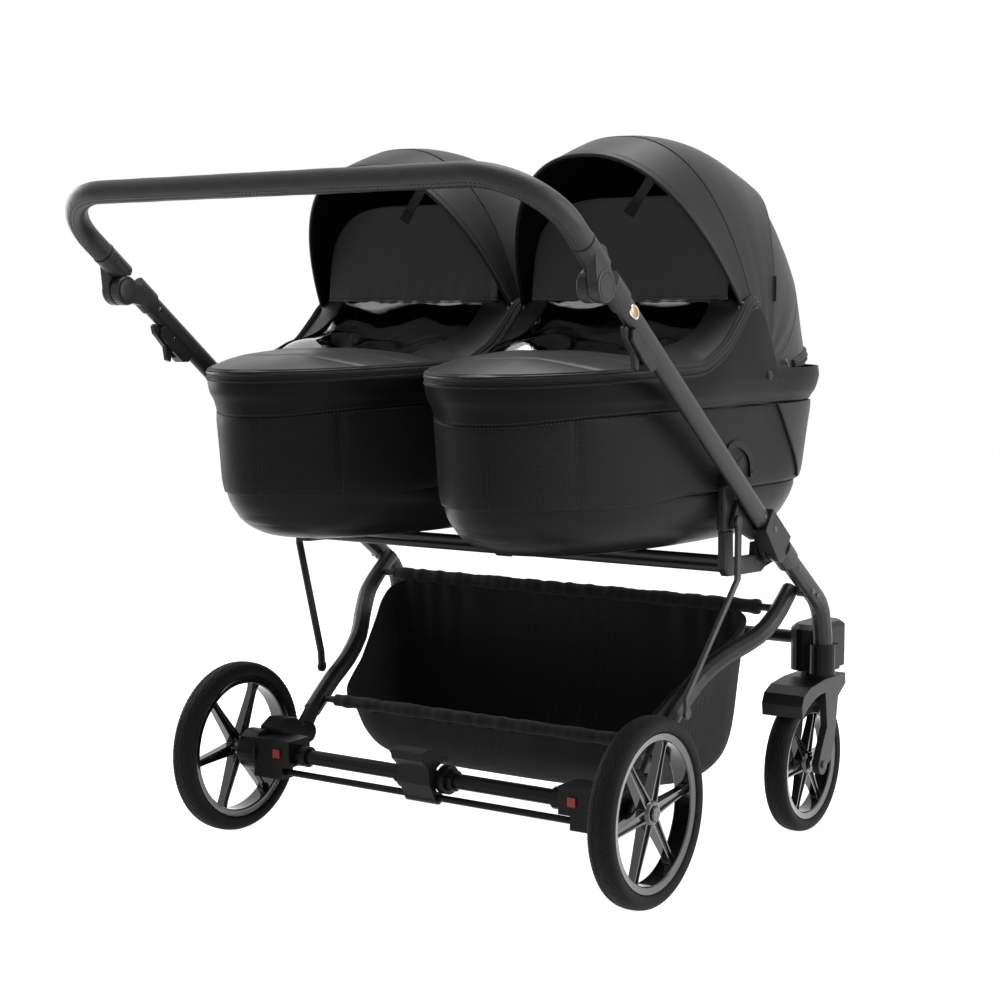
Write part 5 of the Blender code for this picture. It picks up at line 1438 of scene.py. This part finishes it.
basket = basket_grid()
basket_uv = cloth_grid(np.linspace(0, 0.42, BASKET_ROWS), np.linspace(0, 1.9, BASKET_AROUND + 1))[..., ::-1]
sides = grid_shape(basket, wrap_columns=True, cloth=basket_uv)
floor_fan = [[(j + 1) % BASKET_AROUND, j, BASKET_ROWS * BASKET_AROUND] for j in range(BASKET_AROUND)]
bottom = Shape(np.vstack([sides.points, basket[0].mean(0)[None]]), sides.faces + floor_fan,
               np.vstack([sides.corners, np.zeros((3 * BASKET_AROUND, 2))]))
bag = piece("basket_bag", bottom, "rear_legs", BASKET_CLOTH, "basket_cloth", closed=False, wall=0.0020,
            sharp=0, replaces=["basket"])
hems = [hem_shape(ROD_FRONT, 0.366, 0.0115), hem_shape(ROD_REAR, 0.292, 0.0105)]
piece("basket_hems", hems, "rear_legs", BASKET_CLOTH, "basket_cloth", sharp=0)
edge_lines = []
for sign in (-1, 1):
    line = basket[-2][basket[-2, :, 0] * sign > 0.2]
    line = line[np.argsort(line[:, 1])]
    line = line[(line[:, 1] > 0.150) & (line[:, 1] < 0.392)]
    edge_lines.append(sweep(evenly(line, 90), circle(0.0032, 10)))
piece("basket_side_binding", edge_lines, "rear_legs", TAPE, "basket_cloth", sharp=0)
print("basket cloth", round(cloth_area(basket), 3), "m2")

# %% [markdown]
# ### Trim on the hoods and carrycots
#
# Straps, tags, zip bands and piping are narrow strips that lie on a larger surface, so each takes its
# path from that surface's own function and is carried along it as a ribbon.

# %% Ribbons, strap, tag and rear zip
def ribbon(path, facing, width, thick):
    """A flat closed strip: a thin rounded rectangle carried along a path, its flat side facing a
    direction."""
    half, deep = width / 2, thick / 2
    section = [(-half, -deep * 0.4), (-half * 0.96, -deep), (half * 0.96, -deep), (half, -deep * 0.4),
               (half, deep * 0.4), (half * 0.96, deep), (-half * 0.96, deep), (-half, deep * 0.4)]
    return sweep(path, section, up=facing)


def ring_at(ring, shares):
    """Points of a closed ring at shares of its column count, wrapping past its end."""
    place = (np.asarray(shares) % 1.0) * len(ring)
    low = np.floor(place).astype(int) % len(ring)
    part = (place - np.floor(place))[:, None]
    return ring[low] * (1 - part) + ring[(low + 1) % len(ring)] * part


def hood_point(angle, across):
    """The point of the rear cloth's outer face at a lean angle and a distance across."""
    arch = hood_surface([angle], 0.1988, 0.0040)[0]
    arch = arch[:len(arch) // 2][::-1]
    return np.array([np.interp(across, arch[:, 0], arch[:, axis]) for axis in range(3)])


def make_strap(side):
    """The hanging strap with its sewn end, and the tag in the rear seam."""
    strap_path = smooth_rows([(0.1070, 0.1340, 1.0570), (0.1000, 0.1340, 1.0470), (0.0830, 0.1370, 1.0270),
                              (0.0660, 0.1425, 1.0090), (0.0600, 0.1450, 1.0030)], 40)
    loop = smooth_rows([(0.0735, 0.1398, 1.0170), (0.0660, 0.1425, 1.0090), (0.0606, 0.1446, 1.0036)], 12)
    facing = (0.56, -0.82, 0.09)
    strap = [ribbon(strap_path, facing, 0.0150, 0.0016),
             ribbon(loop + (0.0008, -0.0012, 0), facing, 0.0175, 0.0022)]
    on_cot("hood_strap", strap, side, LEATHER, hood=True, sharp=50)
    seam = hoop_line(REAR_SEAM + 0.15, 0.2050, -0.0010)
    tag = ribbon(evenly(seam[13:19], 12) + (0.0022, 0, 0), (0, 1, 0.2), 0.0055, 0.0012)
    on_cot("seam_tag", tag, side, TAPE, hood=True, sharp=40)


def make_tail(side):
    """The zip round the hood's tail, its two pulls, and a thin slanting seam on each side."""
    low, high = (hood_surface([angle], 0.1992, 0.0018)[0][14:-14] for angle in (-84.9, -82.0))
    middle = (low + high) / 2
    out = unit(middle - (0, HOOD_Y, HOOD_Z))
    bands = [sweep(line + out * 0.0010, circle(0.0030, 10)) for line in (low, high)]
    bands.append(sweep(middle + out * 0.0006, ridged_section(0.0050, ridges=6, steps=36)))
    on_cot("tail_zip", bands, side, TAPE)
    slanting = np.array([hood_point(-69.5 + 10.5 * part, 0.1958 - 0.0300 * part ** 1.4)
                         for part in np.linspace(0, 1, 30)])
    block = [(0.0001, 0.0), (0.0040, 0.0), (0.0046, 0.0012), (0.0036, 0.0030), (0.0001, 0.0034)]
    pulls, diagonal = [], []
    for sign in (-1, 1):
        tab = [(sign * 0.2015, 0.398, 0.779), (sign * 0.2030, 0.400, 0.773), (sign * 0.2034, 0.402, 0.760)]
        pulls += [turned(block, (sign * 0.1990, 0.398, 0.780), "x", 16),
                  ribbon(tab, (1, 0, 0), 0.0050, 0.0014)]
        diagonal.append(sweep(slanting * (sign, 1, 1), circle(0.0011, 8)))
    on_cot("tail_pulls", pulls, side, STEEL, "frame_coat", sharp=40)
    on_cot("hood_diagonal", diagonal, side, TAPE)


for cot_side in COT_CENTRES:
    make_strap(cot_side)
    make_tail(cot_side)

# %% Head panel, wall seams, corner piping, side latches, liner and mattress
MAIN_SEAM = 0.675
LATCH_ARCH = [(0.2050, 0.5950), (0.2050, 0.6480), (0.2110, 0.6590), (0.2270, 0.6650), (0.2470, 0.6650),
              (0.2680, 0.6580), (0.2840, 0.6450), (0.2930, 0.6280), (0.2940, 0.6060), (0.2830, 0.6060),
              (0.2810, 0.6260), (0.2740, 0.6380), (0.2600, 0.6480), (0.2440, 0.6540), (0.2280, 0.6540),
              (0.2190, 0.6490), (0.2170, 0.6420), (0.2170, 0.5950)]
LATCH_HOOK = [(0.2380, 0.6280), (0.2640, 0.6400), (0.2700, 0.6330), (0.2640, 0.6200), (0.2480, 0.6160)]
LATCH_FOOT = [(0.190, 0.6003), (0.216, 0.6003), (0.216, 0.630), (0.190, 0.630)]


def piping_share(z):
    """Where the rear corner's piping crosses the outline, as a share of it: it slants back towards the
    base."""
    return np.interp(z, (0.590, 0.7156, 0.770), (0.045, -0.022, -0.050))


def make_head_panel(side, wall):
    """The plain panel round the head end, with a piping along each of its slanting edges."""
    middle = int(np.argmax(wall[0, :, 1])) / AROUND
    starts = [float(piping_share(ring[0, 2])) for ring in wall[1:]]
    on_wall = np.stack([ring_at(ring, np.linspace(start, 2 * middle - start, 90))
                        for ring, start in zip(wall[1:], starts)])
    panel = on_wall + unit((on_wall - (0, 0.40, 0)) * (1, 1, 0)) * 0.0016
    cloth = cloth_grid(np.linspace(0, 0.125, len(panel)), np.linspace(0, 0.62, 90))
    head = on_cot("head_panel", grid_shape(panel, cloth=cloth), side, LEATHER, "cot_side", closed=False,
                  wall=0.0016)
    pipings = [sweep(on_wall[:, column] + (0.0022 * way, 0.0004, 0), circle(0.0020, 10), up=(0, 1, 0))
               for column, way in ((0, 1), (-1, -1))]
    on_cot("corner_piping", pipings, side, TAPE, "cot_side")


def make_latches(side):
    """An arched catch with its hook, foot and screw on each side of the carrycot."""
    latch = [slab(LATCH_ARCH, 0.1885, 0.1985), slab(LATCH_HOOK, 0.1900, 0.1960),
             slab(LATCH_FOOT, 0.1850, 0.2060), turned_on(SCREW, (0.1985, 0.2885, 0.614), 1)]
    both = [mirrored(part) for part in latch] + latch
    on_cot("side_latches", both, side, DARK_PLASTIC, "black_plastic", edge=0.0012, sharp=35)


def make_wall_seams(side, wall):
    """A thin cord of thread down each upright seam; the main seam's is the thickest."""
    sewn = []
    for share in SEAM_SHARES:
        line = np.concatenate([ring_at(ring, [share]) for ring in wall[1:-1]])
        sewn.append(sweep(line, circle(0.0010 if share == MAIN_SEAM else 0.0006, 8), up=(0, 1, 0)))
    on_cot("wall_seams", sewn, side, TAPE, "cot_side")


def make_liner(side):
    """The charcoal lining inside the walls, from the rim down to the floor."""
    levels = [(0.1965, -0.1890, 0.6170, 0.7560), (0.1900, -0.1780, 0.6040, 0.7100),
              (0.1840, -0.1680, 0.5760, 0.6000), (0.1780, -0.1560, 0.5600, 0.5600),
              (0.1500, -0.1160, 0.5200, 0.5290)]
    liner = cot_rows(smooth_rows(levels, 30))
    cover = grid_shape(liner, wrap_columns=True, cloth=ring_cloth(liner))
    # The liner's charcoal carries the same painted light, raised against the shade inside the carrycot.
    lining = on_cot("cot_liner", cover, side, CHARCOAL_PAINTED_LIGHT, closed=False, wall=-0.0012)


def make_mattress(side):
    """A quilted mattress: outlines that round over at its edge, with the top pressed in along a diamond
    grid."""
    levels = [(0.020, 0.150, 0.400, 0.5300), (0.120, -0.040, 0.450, 0.5300), (0.158, -0.105, 0.508, 0.5310),
              (0.166, -0.118, 0.520, 0.5380), (0.167, -0.120, 0.522, 0.5460), (0.163, -0.115, 0.518, 0.5540),
              (0.152, -0.100, 0.506, 0.5590), (0.120, -0.050, 0.455, 0.5605), (0.075, 0.040, 0.420, 0.5610),
              (0.020, 0.150, 0.400, 0.5610)]
    rows = smooth_rows(levels, 90)
    points = cot_rows(rows)
    spacing = 0.055
    first = np.abs(np.sin(np.pi * (points[..., 0] + points[..., 1]) / spacing))
    second = np.abs(np.sin(np.pi * (points[..., 0] - points[..., 1]) / spacing))
    top = np.clip((rows[:, 3] - 0.550) / 0.008, 0, 1)[:, None]
    points[..., 2] += top * (0.0035 * np.minimum(first, second) ** 0.6 - 0.0020)
    cover = grid_shape(points, wrap_columns=True, cloth=ring_cloth(points), caps=True)
    # The mattress's charcoal carries the same painted light, raised against the shade inside the carrycot.
    mattress = on_cot("mattress", cover, side, CHARCOAL_PAINTED_LIGHT)


for cot_side in COT_CENTRES:
    wall_rings = wall_grid()
    make_head_panel(cot_side, wall_rings)
    make_latches(cot_side)
    make_wall_seams(cot_side, wall_rings)
    make_liner(cot_side)
    make_mattress(cot_side)

# %% [markdown]
# ## The finished scene

# The dressed pram has to stay inside the CAD model's box, apart from a little fabric.

# %% Finish
print("pieces made:", len(made))
